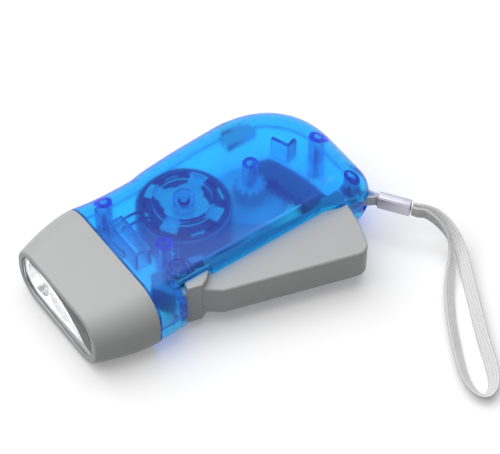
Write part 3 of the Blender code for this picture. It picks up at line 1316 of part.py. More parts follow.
def make_strap():
    ferrule_along = Vector((math.cos(FERRULE_BEARING), math.sin(FERRULE_BEARING), 0))
    ferrule_across = Vector((-ferrule_along.y, ferrule_along.x, 0))
    start = Vector((FERRULE_START_X, FERRULE_START_Y, 0))
    pair = (STRAP_THICKNESS + STRAP_PAIR_GAP) / 2
    half_width = pair + STRAP_THICKNESS / 2 + FERRULE_WALL
    half_height = STRAP_WIDTH / 2 + FERRULE_WALL
    ferrule = block(
        "strap_ferrule", (0, -half_width, strap_z - half_height), (FERRULE_LENGTH, half_width, strap_z + half_height),
        housing, ZINC, turn=FERRULE_BEARING, centre=(start.x, start.y))
    add_bevel(ferrule, FERRULE_WALL * 2)

    # The eye goes round the tail post and into the ferrule
    radius = STRAP_POST_RADIUS + GAP + STRAP_THICKNESS / 2
    post = Vector((STRAP_POST_X, STRAP_POST_Y, 0))
    mouth = start - ferrule_along * GAP
    eye = [mouth + ferrule_across * pair]
    eye.append(mouth - ferrule_along * STRAP_THICKNESS + ferrule_across * pair)
    for i in range(13):
        angle = strap_bearing + math.pi / 2 + math.pi * i / 12
        eye.append(polar(radius, angle, post))
    eye.append(mouth - ferrule_along * STRAP_THICKNESS - ferrule_across * pair)
    eye.append(mouth - ferrule_across * pair)
    band("strap_eye", [(p.x, p.y, strap_z, 0.0) for p in eye], housing, BRAID)

    route = smooth_path(strap_route, STRAP_ROUTE_STEPS)
    places = [(x * MM, y * MM, z * MM, math.radians(lean)) for x, y, z, lean in route]
    length = sum((Vector(a[:3]) - Vector(b[:3])).length for a, b in zip(places, places[1:]))
    print("wrist strap: length of the hand loop", round(length / MM, 1), "mm")
    band("wrist_strap", places, housing, BRAID)


make_lower_shell()
make_upper_shell()
make_head_parts()
make_lever()
rod(
    "lever_pin", PIVOT_PIN_RADIUS, PIN_SEAT_DEPTH + GAP, pin_top, housing, STEEL, centre=(PIVOT_X, PIVOT_Y))
make_spring()
make_gears()
make_dynamo()
make_screws()
make_switch()
make_wires()
make_strap()
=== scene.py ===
import math

import bmesh
import bpy
from mathutils import Matrix, Vector
from mathutils.bvhtree import BVHTree


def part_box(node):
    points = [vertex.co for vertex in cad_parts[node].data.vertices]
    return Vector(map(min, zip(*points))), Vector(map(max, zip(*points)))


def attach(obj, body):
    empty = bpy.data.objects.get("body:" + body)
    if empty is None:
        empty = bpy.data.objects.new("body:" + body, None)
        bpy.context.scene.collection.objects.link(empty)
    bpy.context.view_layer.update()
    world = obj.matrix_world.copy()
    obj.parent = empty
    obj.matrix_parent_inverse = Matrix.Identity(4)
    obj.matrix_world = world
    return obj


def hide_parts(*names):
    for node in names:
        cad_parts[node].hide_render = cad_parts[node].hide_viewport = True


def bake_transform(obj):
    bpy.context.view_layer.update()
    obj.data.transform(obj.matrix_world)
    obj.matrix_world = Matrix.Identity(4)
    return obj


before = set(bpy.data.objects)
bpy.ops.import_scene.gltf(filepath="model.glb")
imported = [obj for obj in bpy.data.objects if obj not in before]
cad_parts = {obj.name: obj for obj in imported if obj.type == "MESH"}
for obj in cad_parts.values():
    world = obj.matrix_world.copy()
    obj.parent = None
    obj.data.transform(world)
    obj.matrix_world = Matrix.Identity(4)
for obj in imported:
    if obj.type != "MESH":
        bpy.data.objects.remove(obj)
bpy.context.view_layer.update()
mm = 0.001
up = Vector((0, 0, 1))
weldGap = 0.0005  # points closer than this, in millimetres, become one


# Everything below is drawn in millimetres in the CAD's frame and becomes metres when a piece is finished.

def linear(hexText):
    # An sRGB hex colour in linear light.
    channels = [int(hexText[i:i + 2], 16) / 255 for i in (1, 3, 5)]
    return tuple(c / 12.92 if c <= 0.04045 else ((c + 0.055) / 1.055) ** 2.4 for c in channels) + (1.0,)


def addNode(tree, kind, inputs=None, **settings):
    node = tree.nodes.new(kind)
    for name, value in settings.items():
        setattr(node, name, value)
    for name, value in (inputs or {}).items():
        if isinstance(value, bpy.types.NodeSocket):
            tree.links.new(value, node.inputs[name])
        else:
            node.inputs[name].default_value = value
    return node


def newMaterial(name):
    material = bpy.data.materials.new(name)
    material.use_nodes = True
    material.node_tree.nodes.clear()
    return material, material.node_tree


def showSurface(tree, shader, volume=None):
    output = addNode(tree, "ShaderNodeOutputMaterial", {"Surface": shader.outputs[0]})
    if volume:
        tree.links.new(volume.outputs[0], output.inputs["Volume"])


def newObject(name, data):
    obj = bpy.data.objects.new(name, data)
    bpy.context.scene.collection.objects.link(obj)
    return obj


# Camera

camera = dict(
    azimuth=-36.86, elevation=51.46, roll=1.2, distance=747.3, target=(12.7, -8.9, 12.9), lens=177.45,
    sensor=36.0, clipStart=0.01)


def makeCamera():
    turn, lift = math.radians(camera["azimuth"]), math.radians(camera["elevation"])
    back = Vector((math.sin(turn) * math.cos(lift), -math.cos(turn) * math.cos(lift), math.sin(lift)))
    data = bpy.data.cameras.new("photoCamera")
    data.sensor_width, data.lens, data.clip_start = camera["sensor"], camera["lens"], camera["clipStart"]
    eye = newObject("photoCamera", data)
    eye.location = (Vector(camera["target"]) + back * camera["distance"]) * mm
    level = back.to_track_quat("Z", "Y").to_matrix()
    eye.rotation_euler = (level @ Matrix.Rotation(math.radians(camera["roll"]), 3, "Z")).to_euler()
    bpy.context.scene.camera = eye


makeCamera()


# Shapes

def polar(radius, angle, centre=(0, 0)):
    return Vector((centre[0] + radius * math.cos(angle), centre[1] + radius * math.sin(angle)))


def arcPoints(centre, radius, start, end, steps):
    return [polar(radius, start + (end - start) * i / steps, centre) for i in range(steps + 1)]


def circlePoints(radius, steps=48, centre=(0, 0)):
    return arcPoints(centre, radius, 0, 2 * math.pi, steps)[:-1]


def quarterAngles(steps):
    return [math.pi / 2 * i / steps for i in range(steps + 1)]


def corners(low, high):
    return [(low[0], low[1]), (high[0], low[1]), (high[0], high[1]), (low[0], high[1])]


def smoothPath(points, steps):
    # A rounded path through all the points.
    ends = [points[0], *points, points[-1]]
    path = []
    for four in zip(ends, ends[1:], ends[2:], ends[3:]):
        for step in range(steps):
            t = step / steps
            path.append(tuple(
                (2 * q + (r - p) * t + (2 * p - 5 * q + 4 * r - s) * t ** 2
                 + (3 * q - p - 3 * r + s) * t ** 3) / 2 for p, q, r, s in zip(*four)))
    path.append(tuple(points[-1]))
    return path


def looseObject(name, bm):
    mesh = bpy.data.meshes.new(name)
    bm.to_mesh(mesh)
    bm.free()
    return newObject(name, mesh)


def joinRows(bm, rows, closeLast, closedRings=True):
    # Faces from each row of points to the next, and from the last to the first with closeLast.
    count = len(rows[0])
    for low, high in zip(rows, rows[1:] + rows[:1] if closeLast else rows[1:]):
        for i in range(count if closedRings else count - 1):
            j = (i + 1) % count
            bm.faces.new((low[i], low[j], high[j], high[i]))


def loft(name, rings, closedRings=True, closeLast=False, caps=(True, True)):
    bm = bmesh.new()
    rows = [[bm.verts.new(point) for point in ring] for ring in rings]
    joinRows(bm, rows, closeLast, closedRings)
    if caps[0]:
        bm.faces.new(list(reversed(rows[0])))
    if caps[1]:
        bm.faces.new(rows[-1])
    bmesh.ops.recalc_face_normals(bm, faces=bm.faces)
    return looseObject(name, bm)


def lathe(name, profile, steps=72, place=Matrix()):
    # The profile's points are (radius, height), round a closed section; a radius of 0 closes at the axis.
    bm = bmesh.new()
    closed = profile[0] == profile[-1]
    rows = []
    for radius, height in profile[:-1] if closed else profile:
        rows.append([bm.verts.new((p.x, p.y, height)) for p in circlePoints(radius, steps)])
    joinRows(bm, rows, closed)
    bmesh.ops.remove_doubles(bm, verts=bm.verts, dist=weldGap)
    bmesh.ops.recalc_face_normals(bm, faces=bm.faces)
    bm.transform(place)
    return looseObject(name, bm)


def plainMesh(obj):
    # The evaluated object as a plain mesh of its own, with doubles merged and normals out.
    bpy.context.view_layer.update()
    mesh = bpy.data.meshes.new_from_object(obj.evaluated_get(bpy.context.evaluated_depsgraph_get()))
    name = obj.name
    bpy.data.objects.remove(obj)
    bm = bmesh.new()
    bm.from_mesh(mesh)
    bmesh.ops.remove_doubles(bm, verts=bm.verts, dist=weldGap)
    bmesh.ops.recalc_face_normals(bm, faces=bm.faces)
    bm.to_mesh(mesh)
    bm.free()
    mesh.name = name
    return newObject(name, mesh)


def drawnIn(outline, inset):
    points = [Vector((p[0], p[1])) for p in outline]
    result = []
    for before, here, after in zip(points[-1:] + points[:-1], points, points[1:] + points[:1]):
        a, b = (here - before).normalized(), (after - here).normalized()
        across = Vector((-a.y - b.y, a.x + b.x)).normalized()
        result.append(here + across * (inset / max(across.dot(Vector((-a.y, a.x))), 0.5)))
    return result


def easedPlate(name, outline, low, high, ease, steps=4):
    # A plate with rounded edges. The outline runs anticlockwise.
    quarter = [(1 - math.sin(angle), 1 - math.cos(angle)) for angle in quarterAngles(steps)]
    levels = [(inset, low + ease * rise) for inset, rise in quarter]
    levels += [(inset, high - ease * rise) for inset, rise in reversed(quarter)]
    return loft(name, [[(p.x, p.y, z) for p in drawnIn(outline, ease * inset)] for inset, z in levels])


def polyCurve(name, lines, flat):
    # Straight-sided splines: closed outlines when flat, open paths when not.
    curve = bpy.data.curves.new(name, "CURVE")
    curve.dimensions = "2D" if flat else "3D"
    for line in lines:
        spline = curve.splines.new("POLY")
        spline.points.add(len(line) - 1)
        for point, place in zip(spline.points, line):
            point.co = (*place, 1)
        spline.use_cyclic_u = flat
    return newObject(name, curve)


def plate(name, outlines, low, high, acrossX=False, ease=0.0):
    # The first outline is the edge, the rest are holes. acrossX lays it across X, with x as Y and y as Z.
    obj = polyCurve(name, [[(p[0], p[1], 0) for p in outline] for outline in outlines], True)
    curve = obj.data
    curve.fill_mode = "BOTH"
    curve.extrude = (high - low) / 2 - ease
    if ease:
        curve.bevel_depth, curve.bevel_resolution, curve.offset = ease, 2, -ease
    obj = plainMesh(obj)
    obj.data.transform(Matrix.Translation((0, 0, (low + high) / 2)))
    if acrossX:
        obj.data.transform(Matrix(((0, 0, 1, 0), (1, 0, 0, 0), (0, 1, 0, 0), (0, 0, 0, 1))))
    return obj


def tube(name, points, radius, sides=12):
    obj = polyCurve(name, [points], False)
    curve = obj.data
    curve.bevel_depth, curve.bevel_resolution, curve.use_fill_caps = radius, sides // 4, True
    return plainMesh(obj)


def rod(name, radius, low, high, centre=(0, 0), steps=32):
    return loft(name, [[(p.x, p.y, z) for p in circlePoints(radius, steps, centre)] for z in (low, high)])


def block(name, low, high, turn=0.0, centre=(0, 0)):
    obj = loft(name, [[(x, y, z) for x, y in corners(low, high)] for z in (low[2], high[2])])
    obj.data.transform(Matrix.Translation((centre[0], centre[1], 0)) @ Matrix.Rotation(turn, 4, "Z"))
    return obj


def wallStrip(name, points, low, high, thick):
    # A thin upright wall along a line of points.
    left, right = [], []
    for i, p in enumerate(points):
        a, b = points[max(i - 1, 0)], points[min(i + 1, len(points) - 1)]
        t = (b - a).normalized()
        n = Vector((-t.y, t.x)) * thick / 2
        left.append(p + n)
        right.append(p - n)
    return plate(name, [left + list(reversed(right))], low, high)


def addBoolean(obj, tool, operation):
    step = obj.modifiers.new(tool.name, "BOOLEAN")
    step.operation, step.solver, step.object = operation, "EXACT", tool


def combine(target, tools, operation):
    name = target.name
    for tool in tools:
        addBoolean(target, tool, operation)
    result = plainMesh(target)
    for tool in tools:
        bpy.data.objects.remove(tool)
    result.name = name
    return result


def newGroup(name, inputs):
    # A Geometry Nodes tree that takes geometry and the named inputs.
    tree = bpy.data.node_groups.new(name, "GeometryNodeTree")
    tree.is_modifier = True
    for socket, kind in {"Geometry": "Geometry", **inputs}.items():
        tree.interface.new_socket(socket, in_out="INPUT", socket_type="NodeSocket" + kind)
    tree.interface.new_socket("Geometry", in_out="OUTPUT", socket_type="NodeSocketGeometry")
    return tree, addNode(tree, "NodeGroupInput").outputs


def endGroup(tree, parts, material):
    joined = addNode(tree, "GeometryNodeJoinGeometry")
    for part in parts:
        tree.links.new(part, joined.inputs[0])
    real = addNode(tree, "GeometryNodeRealizeInstances", {"Geometry": joined.outputs[0]})
    dressed = addNode(tree, "GeometryNodeSetMaterial", {"Geometry": real.outputs[0], "Material": material})
    addNode(tree, "NodeGroupOutput", {0: dressed.outputs[0]})


def runGroup(obj, tree, values):
    modifier = obj.modifiers.new(tree.name, "NODES")
    modifier.node_group = tree
    for item in tree.interface.items_tree:
        if item.name in values:
            modifier[item.identifier] = values[item.name]
    return plainMesh(obj)


def repeated(name, piece, places, material):
    # The piece at each of the places, turned as it is.
    bm = bmesh.new()
    for place in places:
        bm.verts.new(place)
    tree, given = newGroup(name + "Tree", {"Piece": "Object"})
    one = addNode(tree, "GeometryNodeObjectInfo", {"Object": given["Piece"]})
    spread = addNode(tree, "GeometryNodeInstanceOnPoints", {
        "Points": given["Geometry"], "Instance": one.outputs["Geometry"]})
    endGroup(tree, [spread.outputs[0]], material)
    result = runGroup(looseObject(name, bm), tree, {"Piece": piece})
    bpy.data.objects.remove(piece)
    return result


def finishPiece(obj, name, body, materials, replaced=(), sharpAngle=32.0):
    obj.name = name
    mesh = obj.data
    mesh.name = name
    mesh.transform(Matrix.Scale(mm, 4))
    mesh.materials.clear()
    for material in materials:
        mesh.materials.append(material)
    mesh.shade_smooth()
    mesh.set_sharp_from_angle(angle=math.radians(sharpAngle))
    if body:
        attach(obj, body)
    if replaced:
        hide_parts(*replaced)
    return obj


# Materials, each named for the real finish

blue = dict(
    tint="#f2f8ff", outerRoughness=0.08, innerRoughness=0.27, ior=1.38, haze="#3442ff", hazeShare=0.32,
    shadow="#9fe0ff", dye=(0.0, 0.945, 0.999, 1.0), density=950.0)
braid = dict(
    light="#ffffff", paintedFurrowShade="#c6c5c7", halfRib=0.55, yarnTurn=5.71, yarnFrom=0.45, yarnShade=0.3,
    furrowWidth=0.1, furrowShade=0.8)  # ribs and yarns of 1.1 mm, in the UV map's millimetres


def fineBump(tree, coordinate, scale, strength, distance):
    grain = addNode(tree, "ShaderNodeTexNoise", {"Vector": coordinate, "Scale": scale, "Detail": 3.0})
    return addNode(tree, "ShaderNodeBump", {
        "Height": grain.outputs[0], "Strength": strength, "Distance": distance}), grain


def clearBlueStyrene():
    # Clear blue polystyrene, polished outside and matt inside: thin walls glow, thick ribs go deep blue.
    material, tree = newMaterial("clearBlueStyrene")
    place = addNode(tree, "ShaderNodeTexCoord").outputs["Object"]
    bump, _ = fineBump(tree, place, 160.0, 0.04, 0.0002)  # flow marks a few millimetres long
    skin = addNode(tree, "ShaderNodeAttribute", attribute_name="skin").outputs["Fac"]  # 1 on the outer face
    gloss = addNode(tree, "ShaderNodeMapRange", {
        "Value": skin, "To Min": blue["innerRoughness"], "To Max": blue["outerRoughness"]})
    glass = addNode(tree, "ShaderNodeBsdfPrincipled", {
        "Base Color": linear(blue["tint"]), "Roughness": gloss.outputs[0], "IOR": blue["ior"],
        "Transmission Weight": 1.0, "Normal": bump.outputs[0]})
    clear = addNode(tree, "ShaderNodeBsdfTransparent", {"Color": linear(blue["shadow"])})
    rays = addNode(tree, "ShaderNodeLightPath")
    scatter = addNode(tree, "ShaderNodeBsdfDiffuse", {"Color": linear(blue["haze"])})  # cloudy plastic
    share = addNode(tree, "ShaderNodeMath", {0: skin, 1: blue["hazeShare"]}, operation="MULTIPLY")
    hazy = addNode(tree, "ShaderNodeMixShader", {
        0: share.outputs[0], 1: glass.outputs[0], 2: scatter.outputs[0]})
    mixed = addNode(tree, "ShaderNodeMixShader", {
        0: rays.outputs["Is Shadow Ray"], 1: hazy.outputs[0], 2: clear.outputs[0]})
    dye = addNode(tree, "ShaderNodeVolumeAbsorption", {"Color": blue["dye"], "Density": blue["density"]})
    showSurface(tree, mixed, dye)
    return material


def greyAbs():
    # Grey ABS from a spark-eroded mould: an even satin grey with a fine grain.
    material, tree = newMaterial("greyAbs")
    place = addNode(tree, "ShaderNodeTexCoord").outputs["Object"]
    bump, _ = fineBump(tree, place, 2600.0, 0.12, 0.00006)  # grain of about 0.4 mm
    cloud = addNode(tree, "ShaderNodeTexNoise", {"Vector": place, "Scale": 45.0, "Detail": 2.0})
    tone = addNode(tree, "ShaderNodeMix", {
        "Factor": cloud.outputs[0], 6: linear("#b9baba"), 7: linear("#c1c2c2")}, data_type="RGBA")
    gloss = addNode(tree, "ShaderNodeMapRange", {"Value": cloud.outputs[0], "To Min": 0.38, "To Max": 0.5})
    surface = addNode(tree, "ShaderNodeBsdfPrincipled", {
        "Base Color": tone.outputs[2], "Roughness": gloss.outputs[0], "IOR": 1.52, "Normal": bump.outputs[0]})
    showSurface(tree, surface)
    return material


def mouldedPlastic(name, dark, light, roughness, grain):
    material, tree = newMaterial(name)
    place = addNode(tree, "ShaderNodeTexCoord").outputs["Object"]
    bump, noise = fineBump(tree, place, grain, 0.1, 0.00005)
    tone = addNode(tree, "ShaderNodeMix", {
        "Factor": noise.outputs[0], 6: linear(dark), 7: linear(light)}, data_type="RGBA")
    surface = addNode(tree, "ShaderNodeBsdfPrincipled", {
        "Base Color": tone.outputs[2], "Roughness": roughness, "IOR": 1.5, "Normal": bump.outputs[0]})
    showSurface(tree, surface)
    return material


def metal(name, dark, light, low, high, scale):
    # A metal whose roughness and tone vary over marks of the given scale.
    material, tree = newMaterial(name)
    place = addNode(tree, "ShaderNodeTexCoord").outputs["Object"]
    marks = addNode(tree, "ShaderNodeTexNoise", {"Vector": place, "Scale": scale, "Detail": 4.0})
    tone = addNode(tree, "ShaderNodeMix", {
        "Factor": marks.outputs[0], 6: linear(dark), 7: linear(light)}, data_type="RGBA")
    rough = addNode(tree, "ShaderNodeMapRange", {"Value": marks.outputs[0], "To Min": low, "To Max": high})
    bump = addNode(tree, "ShaderNodeBump", {"Height": marks.outputs[0], "Strength": 0.05, "Distance": 0.00005})
    surface = addNode(tree, "ShaderNodeBsdfPrincipled", {
        "Base Color": tone.outputs[2], "Metallic": 1.0, "Roughness": rough.outputs[0],
        "Normal": bump.outputs[0]})
    showSurface(tree, surface)
    return material


def clearPolished(name, tint, roughness, ior):
    # Polished clear plastic: nearly unseen but for its gloss.
    material, tree = newMaterial(name)
    place = addNode(tree, "ShaderNodeTexCoord").outputs["Object"]
    bump, _ = fineBump(tree, place, 300.0, 0.02, 0.0001)
    glass = addNode(tree, "ShaderNodeBsdfPrincipled", {
        "Base Color": linear(tint), "Roughness": roughness, "IOR": ior, "Transmission Weight": 1.0,
        "Normal": bump.outputs[0]})
    clear = addNode(tree, "ShaderNodeBsdfTransparent", {"Color": linear("#fafafa")})
    rays = addNode(tree, "ShaderNodeLightPath")
    mixed = addNode(tree, "ShaderNodeMixShader", {
        0: rays.outputs["Is Shadow Ray"], 1: glass.outputs[0], 2: clear.outputs[0]})
    showSurface(tree, mixed)
    return material


def braidedNylon():
    # White braided nylon: soft and matt, with painted shade in grey between the yarns and along the furrows
    # between ribs.
    material, tree = newMaterial("braidedNylon")
    uv = addNode(tree, "ShaderNodeUVMap", uv_map="braid").outputs[0]
    split = addNode(tree, "ShaderNodeSeparateXYZ", {0: uv})
    inRib = addNode(tree, "ShaderNodeMath", {0: split.outputs[1], 1: braid["halfRib"]}, operation="PINGPONG")
    slant = addNode(tree, "ShaderNodeMath", {0: split.outputs[0], 1: inRib.outputs[0]}, operation="ADD")
    yarn = addNode(tree, "ShaderNodeMath", {0: slant.outputs[0], 1: braid["yarnTurn"]}, operation="MULTIPLY")
    wave = addNode(tree, "ShaderNodeMath", {0: yarn.outputs[0]}, operation="SINE")
    # Painted shade: the grey colour darkens the gaps between yarns and the furrows between ribs, where the
    # mesh's relief already dips.
    between = addNode(tree, "ShaderNodeMapRange", {
        "Value": wave.outputs[0], "From Min": braid["yarnFrom"], "To Min": 0.0, "To Max": braid["yarnShade"]})
    paintedFurrowShade = addNode(tree, "ShaderNodeMapRange", {
        "Value": inRib.outputs[0], "From Min": braid["furrowWidth"], "From Max": 0.0, "To Min": 0.0,
        "To Max": braid["furrowShade"]})
    shade = addNode(tree, "ShaderNodeMath", {0: between.outputs[0], 1: paintedFurrowShade.outputs[0]}, operation="MAXIMUM")
    weave = addNode(tree, "ShaderNodeTexNoise", {"Vector": uv, "Scale": 3.2, "Detail": 4.0})
    tone = addNode(tree, "ShaderNodeMix", {
        "Factor": shade.outputs[0], 6: linear(braid["light"]), 7: linear(braid["paintedFurrowShade"])}, data_type="RGBA")
    bump = addNode(tree, "ShaderNodeBump", {"Height": weave.outputs[0], "Strength": 0.4, "Distance": 0.00015})
    surface = addNode(tree, "ShaderNodeBsdfPrincipled", {
        "Base Color": tone.outputs[2], "Roughness": 0.85, "Subsurface Weight": 0.6, "Subsurface Scale": 0.001,
        "Subsurface Radius": (1.0, 1.0, 1.0), "Sheen Weight": 0.35, "Sheen Roughness": 0.5,
        "Normal": bump.outputs[0]})
    showSurface(tree, surface)
    return material


blueStyrene = clearBlueStyrene()
satinAbs = greyAbs()
lensAcrylic = clearPolished("polishedAcrylic", "#fbfdff", 0.02, 1.49)
lampEpoxy = clearPolished("lampEpoxy", "#f6f6f2", 0.04, 1.5)
vacuumSilver = metal("vacuumSilver", "#eef0f3", "#f8f9fa", 0.12, 0.18, 80.0)  # bright coated plastic
machinedSteel = metal("machinedSteel", "#a9adb2", "#c6cace", 0.2, 0.34, 900.0)  # turned pins and screws
springSteel = metal("springSteel", "#8d9094", "#b2b5b8", 0.22, 0.36, 1500.0)  # drawn wire
platedSteel = metal("platedSteel", "#c9cdd2", "#e0e3e7", 0.22, 0.38, 700.0)  # bright zinc plate
ferruleZinc = metal("ferruleZinc", "#aaa8b2", "#bebcc6", 0.4, 0.52, 600.0)  # dull pressed zinc sheet
darkIron = metal("darkIron", "#6f7684", "#8e96a6", 0.45, 0.6, 800.0)  # dull dark turned iron
enamelCopper = metal("enamelCopper", "#a8602f", "#c9834d", 0.25, 0.4, 1200.0)  # enamelled wire
ferrite = mouldedPlastic("ferrite", "#26272a", "#34353a", 0.6, 3000.0)  # dull ceramic
whiteNylon = mouldedPlastic("whiteNylon", "#f0f1ef", "#fafaf8", 0.4, 1800.0)  # milky gear plastic
greyNylon = mouldedPlastic("greyNylon", "#55585e", "#686b71", 0.45, 1800.0)  # darker grey: painted shade on the lever's rack arm, which is the same grey ABS as the lever
blackNylon = mouldedPlastic("blackNylon", "#151516", "#202022", 0.42, 2200.0)  # satin black
greenBoard = mouldedPlastic("greenBoard", "#123f24", "#1b5431", 0.5, 1500.0)  # coated laminate
redPvc = mouldedPlastic("redPvc", "#8f1512", "#a51d18", 0.42, 2500.0)  # wire cover
phosphor = mouldedPlastic("phosphor", "#e8d46a", "#f1e28c", 0.5, 4000.0)  # the lamps' yellow dice
whiteBraid = braidedNylon()
print("materials made")


# Wrist strap, its eye and its ferrule

strap = dict(
    width=4.4, thickness=1.0, pairGap=0.4, ribs=4, ribDepth=0.24, yarnPitch=1.1, yarnDepth=0.13, yarnSlant=0.9,
    wideRound=0.62, thickRound=0.5, ringStep=0.17, sides=52, height=12.2, postX=45.2, postY=-15.9,
    postRadius=2.3, gap=0.3, sharp=60.0)
ferrule = dict(
    startX=51.5, startY=-22.6, bearing=-54.5, length=10.2, wall=0.35, corner=0.5, slit=0.4, turnIn=0.1,
    edge=0.08, sharp=40.0)
strapRoute = (  # x, y, z and the braid's lean in degrees
    (58.3, -31.0, 12.2, 0), (59.6, -32.5, 12.1, 2), (61.4, -34.0, 11.4, 6), (63.3, -36.2, 10.3, 12),
    (64.5, -38.8, 8.9, 20), (65.0, -41.7, 7.3, 28), (64.9, -44.7, 5.8, 36), (64.2, -47.7, 4.5, 42),
    (62.9, -51.0, 3.4, 45), (61.1, -54.7, 2.6, 46), (59.1, -58.8, 2.1, 46), (56.6, -63.6, 2.1, 46),
    (54.1, -68.3, 2.1, 46), (51.7, -72.9, 2.1, 46), (49.3, -77.6, 2.1, 46), (47.3, -82.0, 2.1, 46),
    (45.2, -86.3, 2.1, 46), (43.0, -90.1, 2.1, 45), (40.1, -92.8, 2.1, 44), (37.4, -93.5, 2.1, 43),
    (35.8, -91.7, 2.1, 43), (35.5, -88.4, 2.1, 44), (36.4, -84.5, 2.1, 45), (38.3, -80.1, 2.1, 46),
    (40.7, -75.5, 2.1, 46), (43.4, -70.7, 2.1, 46), (46.2, -65.9, 2.1, 46), (49.2, -61.5, 2.1, 46),
    (52.2, -57.4, 2.3, 46), (55.5, -53.7, 2.9, 44), (58.5, -50.6, 3.8, 38), (60.8, -47.7, 5.0, 30),
    (62.0, -45.0, 6.5, 22), (62.4, -42.5, 8.1, 15), (62.1, -39.7, 9.6, 9), (61.2, -37.0, 10.9, 5),
    (59.9, -34.7, 11.7, 2), (58.1, -33.4, 12.1, 1), (57.2, -31.8, 12.2, 0),
)


def evenSteps(places, step):
    # The same path, at equal distances along it.
    lengths = [0.0]
    for a, b in zip(places, places[1:]):
        lengths.append(lengths[-1] + (Vector(b[:3]) - Vector(a[:3])).length)
    count = max(2, round(lengths[-1] / step))
    result, at = [], 0
    for i in range(count + 1):
        goal = lengths[-1] * i / count
        while at < len(places) - 2 and lengths[at + 1] < goal:
            at += 1
        share = (goal - lengths[at]) / max(lengths[at + 1] - lengths[at], 1e-9)
        result.append(tuple(p + (q - p) * share for p, q in zip(places[at], places[at + 1])))
    return result, lengths[-1]


def braidRelief(along, share):
    # How far the braid's surface stands out: ribs along it, and yarns that slant across each rib in turn.
    rib = (share + 1) / 2 * strap["ribs"]
    fromMiddle = abs(2 * (rib % 1) - 1)
    slant = along / strap["yarnPitch"] + (1 if int(rib) % 2 else -1) * fromMiddle * strap["yarnSlant"]
    yarn = abs(math.sin(math.pi * slant)) ** 0.8 - 1
    return strap["yarnDepth"] * yarn - strap["ribDepth"] * fromMiddle ** 3


def braidBand(name, places):
    places, length = evenSteps(places, strap["ringStep"])
    count, sides = len(places), strap["sides"]
    halfWidth, halfThick = strap["width"] / 2, strap["thickness"] / 2
    edge = []
    for i in range(sides):
        c, s = math.cos(2 * math.pi * i / sides), math.sin(2 * math.pi * i / sides)
        wide, thick = abs(c) ** strap["wideRound"], abs(s) ** strap["thickRound"]
        edge.append((math.copysign(wide, c), math.copysign(thick, s)))
    rings = []
    for i, (x, y, z, lean) in enumerate(places):
        a, b = places[max(i - 1, 0)], places[min(i + 1, count - 1)]
        along = (Vector(b[:3]) - Vector(a[:3])).normalized()
        side = along.cross(up).normalized()
        high = side.cross(along)
        width = high * math.cos(lean) - side * math.sin(lean)
        across = side * math.cos(lean) + high * math.sin(lean)
        ring = []
        for sw, st in edge:
            relief = braidRelief(length * i / (count - 1), sw)
            ring.append(Vector((x, y, z)) + width * (halfWidth * sw) + across * ((halfThick + relief) * st))
        rings.append(ring)
    band = loft(name, rings)
    layer = band.data.uv_layers.new(name="braid")
    for polygon in band.data.polygons:
        for corner, vertex in zip(polygon.loop_indices, polygon.vertices):
            along = length * (vertex // sides) / (count - 1)
            layer.data[corner].uv = (along, edge[vertex % sides][0] * halfWidth)
    return band


def makeStrap():
    bearing = math.radians(ferrule["bearing"])
    along = Vector((math.cos(bearing), math.sin(bearing)))
    across = Vector((-along.y, along.x))
    start = Vector((ferrule["startX"], ferrule["startY"]))
    pair = (strap["thickness"] + strap["pairGap"]) / 2
    post = Vector((strap["postX"], strap["postY"]))
    radius = strap["postRadius"] + strap["gap"] + strap["thickness"] / 2
    outward = (start - post).normalized()
    facing = math.atan2(outward.y, outward.x)
    mouth = start - along * strap["gap"]
    eye = [mouth + across * pair, mouth - along * strap["thickness"] + across * pair]
    eye += arcPoints(post, radius, facing + math.pi / 2, facing + math.pi * 1.5, 24)
    eye += [mouth - along * strap["thickness"] - across * pair, mouth - across * pair]
    eyePiece = braidBand("strapEye", smoothPath([(p.x, p.y, strap["height"], 0.0) for p in eye], 6))
    finishPiece(eyePiece, "strapEye", "housing", [whiteBraid], ["strap_eye"], strap["sharp"])

    route = smoothPath(strapRoute, 14)
    handLoop = braidBand("wristStrap", [(x, y, z, math.radians(lean)) for x, y, z, lean in route])
    finishPiece(handLoop, "wristStrap", "housing", [whiteBraid], ["wrist_strap"], strap["sharp"])

    clip = makeFerrule(start, along, across, pair)
    path = [(x * mm, y * mm, z * mm) for x, y, z, _ in route]
    length = sum((Vector(a) - Vector(b)).length for a, b in zip(path, path[1:]))
    print("hand loop", round(length / mm, 1), "mm long")


def makeFerrule(start, along, across, pair):
    # One strip of zinc sheet, folded round both strands and open along one edge of its top.
    halfWide = pair + strap["thickness"] / 2 + ferrule["wall"]
    halfHigh = strap["width"] / 2 + ferrule["wall"]
    corner = ferrule["corner"]
    fold = [Vector((-halfWide, halfHigh - ferrule["turnIn"]))]
    for sx, sz, angle in (-1, -1, math.pi), (1, -1, math.pi * 1.5), (1, 1, 0.0):
        bend = (sx * (halfWide - corner), sz * (halfHigh - corner))
        fold += arcPoints(bend, corner, angle, angle + math.pi / 2, 5)
    fold.append(Vector((-halfWide + ferrule["slit"], halfHigh)))
    rings = []
    for p in fold:
        foot = start + across * p.x
        ends = [foot + along * (ferrule["length"] * i / 2) for i in range(3)]
        rings.append([(q.x, q.y, strap["height"] + p.y) for q in ends])
    clip = loft("strapFerrule", rings, closedRings=False, caps=(False, False))
    middle = start + along * ferrule["length"] / 2
    face = clip.data.polygons[0]
    facesIn = face.normal.dot(face.center - Vector((middle.x, middle.y, strap["height"]))) < 0
    wall = clip.modifiers.new("wall", "SOLIDIFY")
    wall.thickness, wall.offset = ferrule["wall"], 1 if facesIn else -1
    edge = clip.modifiers.new("edge", "BEVEL")
    edge.width, edge.segments = ferrule["edge"], 2
    return finishPiece(
        plainMesh(clip), "strapFerrule", "housing", [ferruleZinc], ["strap_ferrule"], ferrule["sharp"])


makeStrap()
print("strap made")


# The two shells

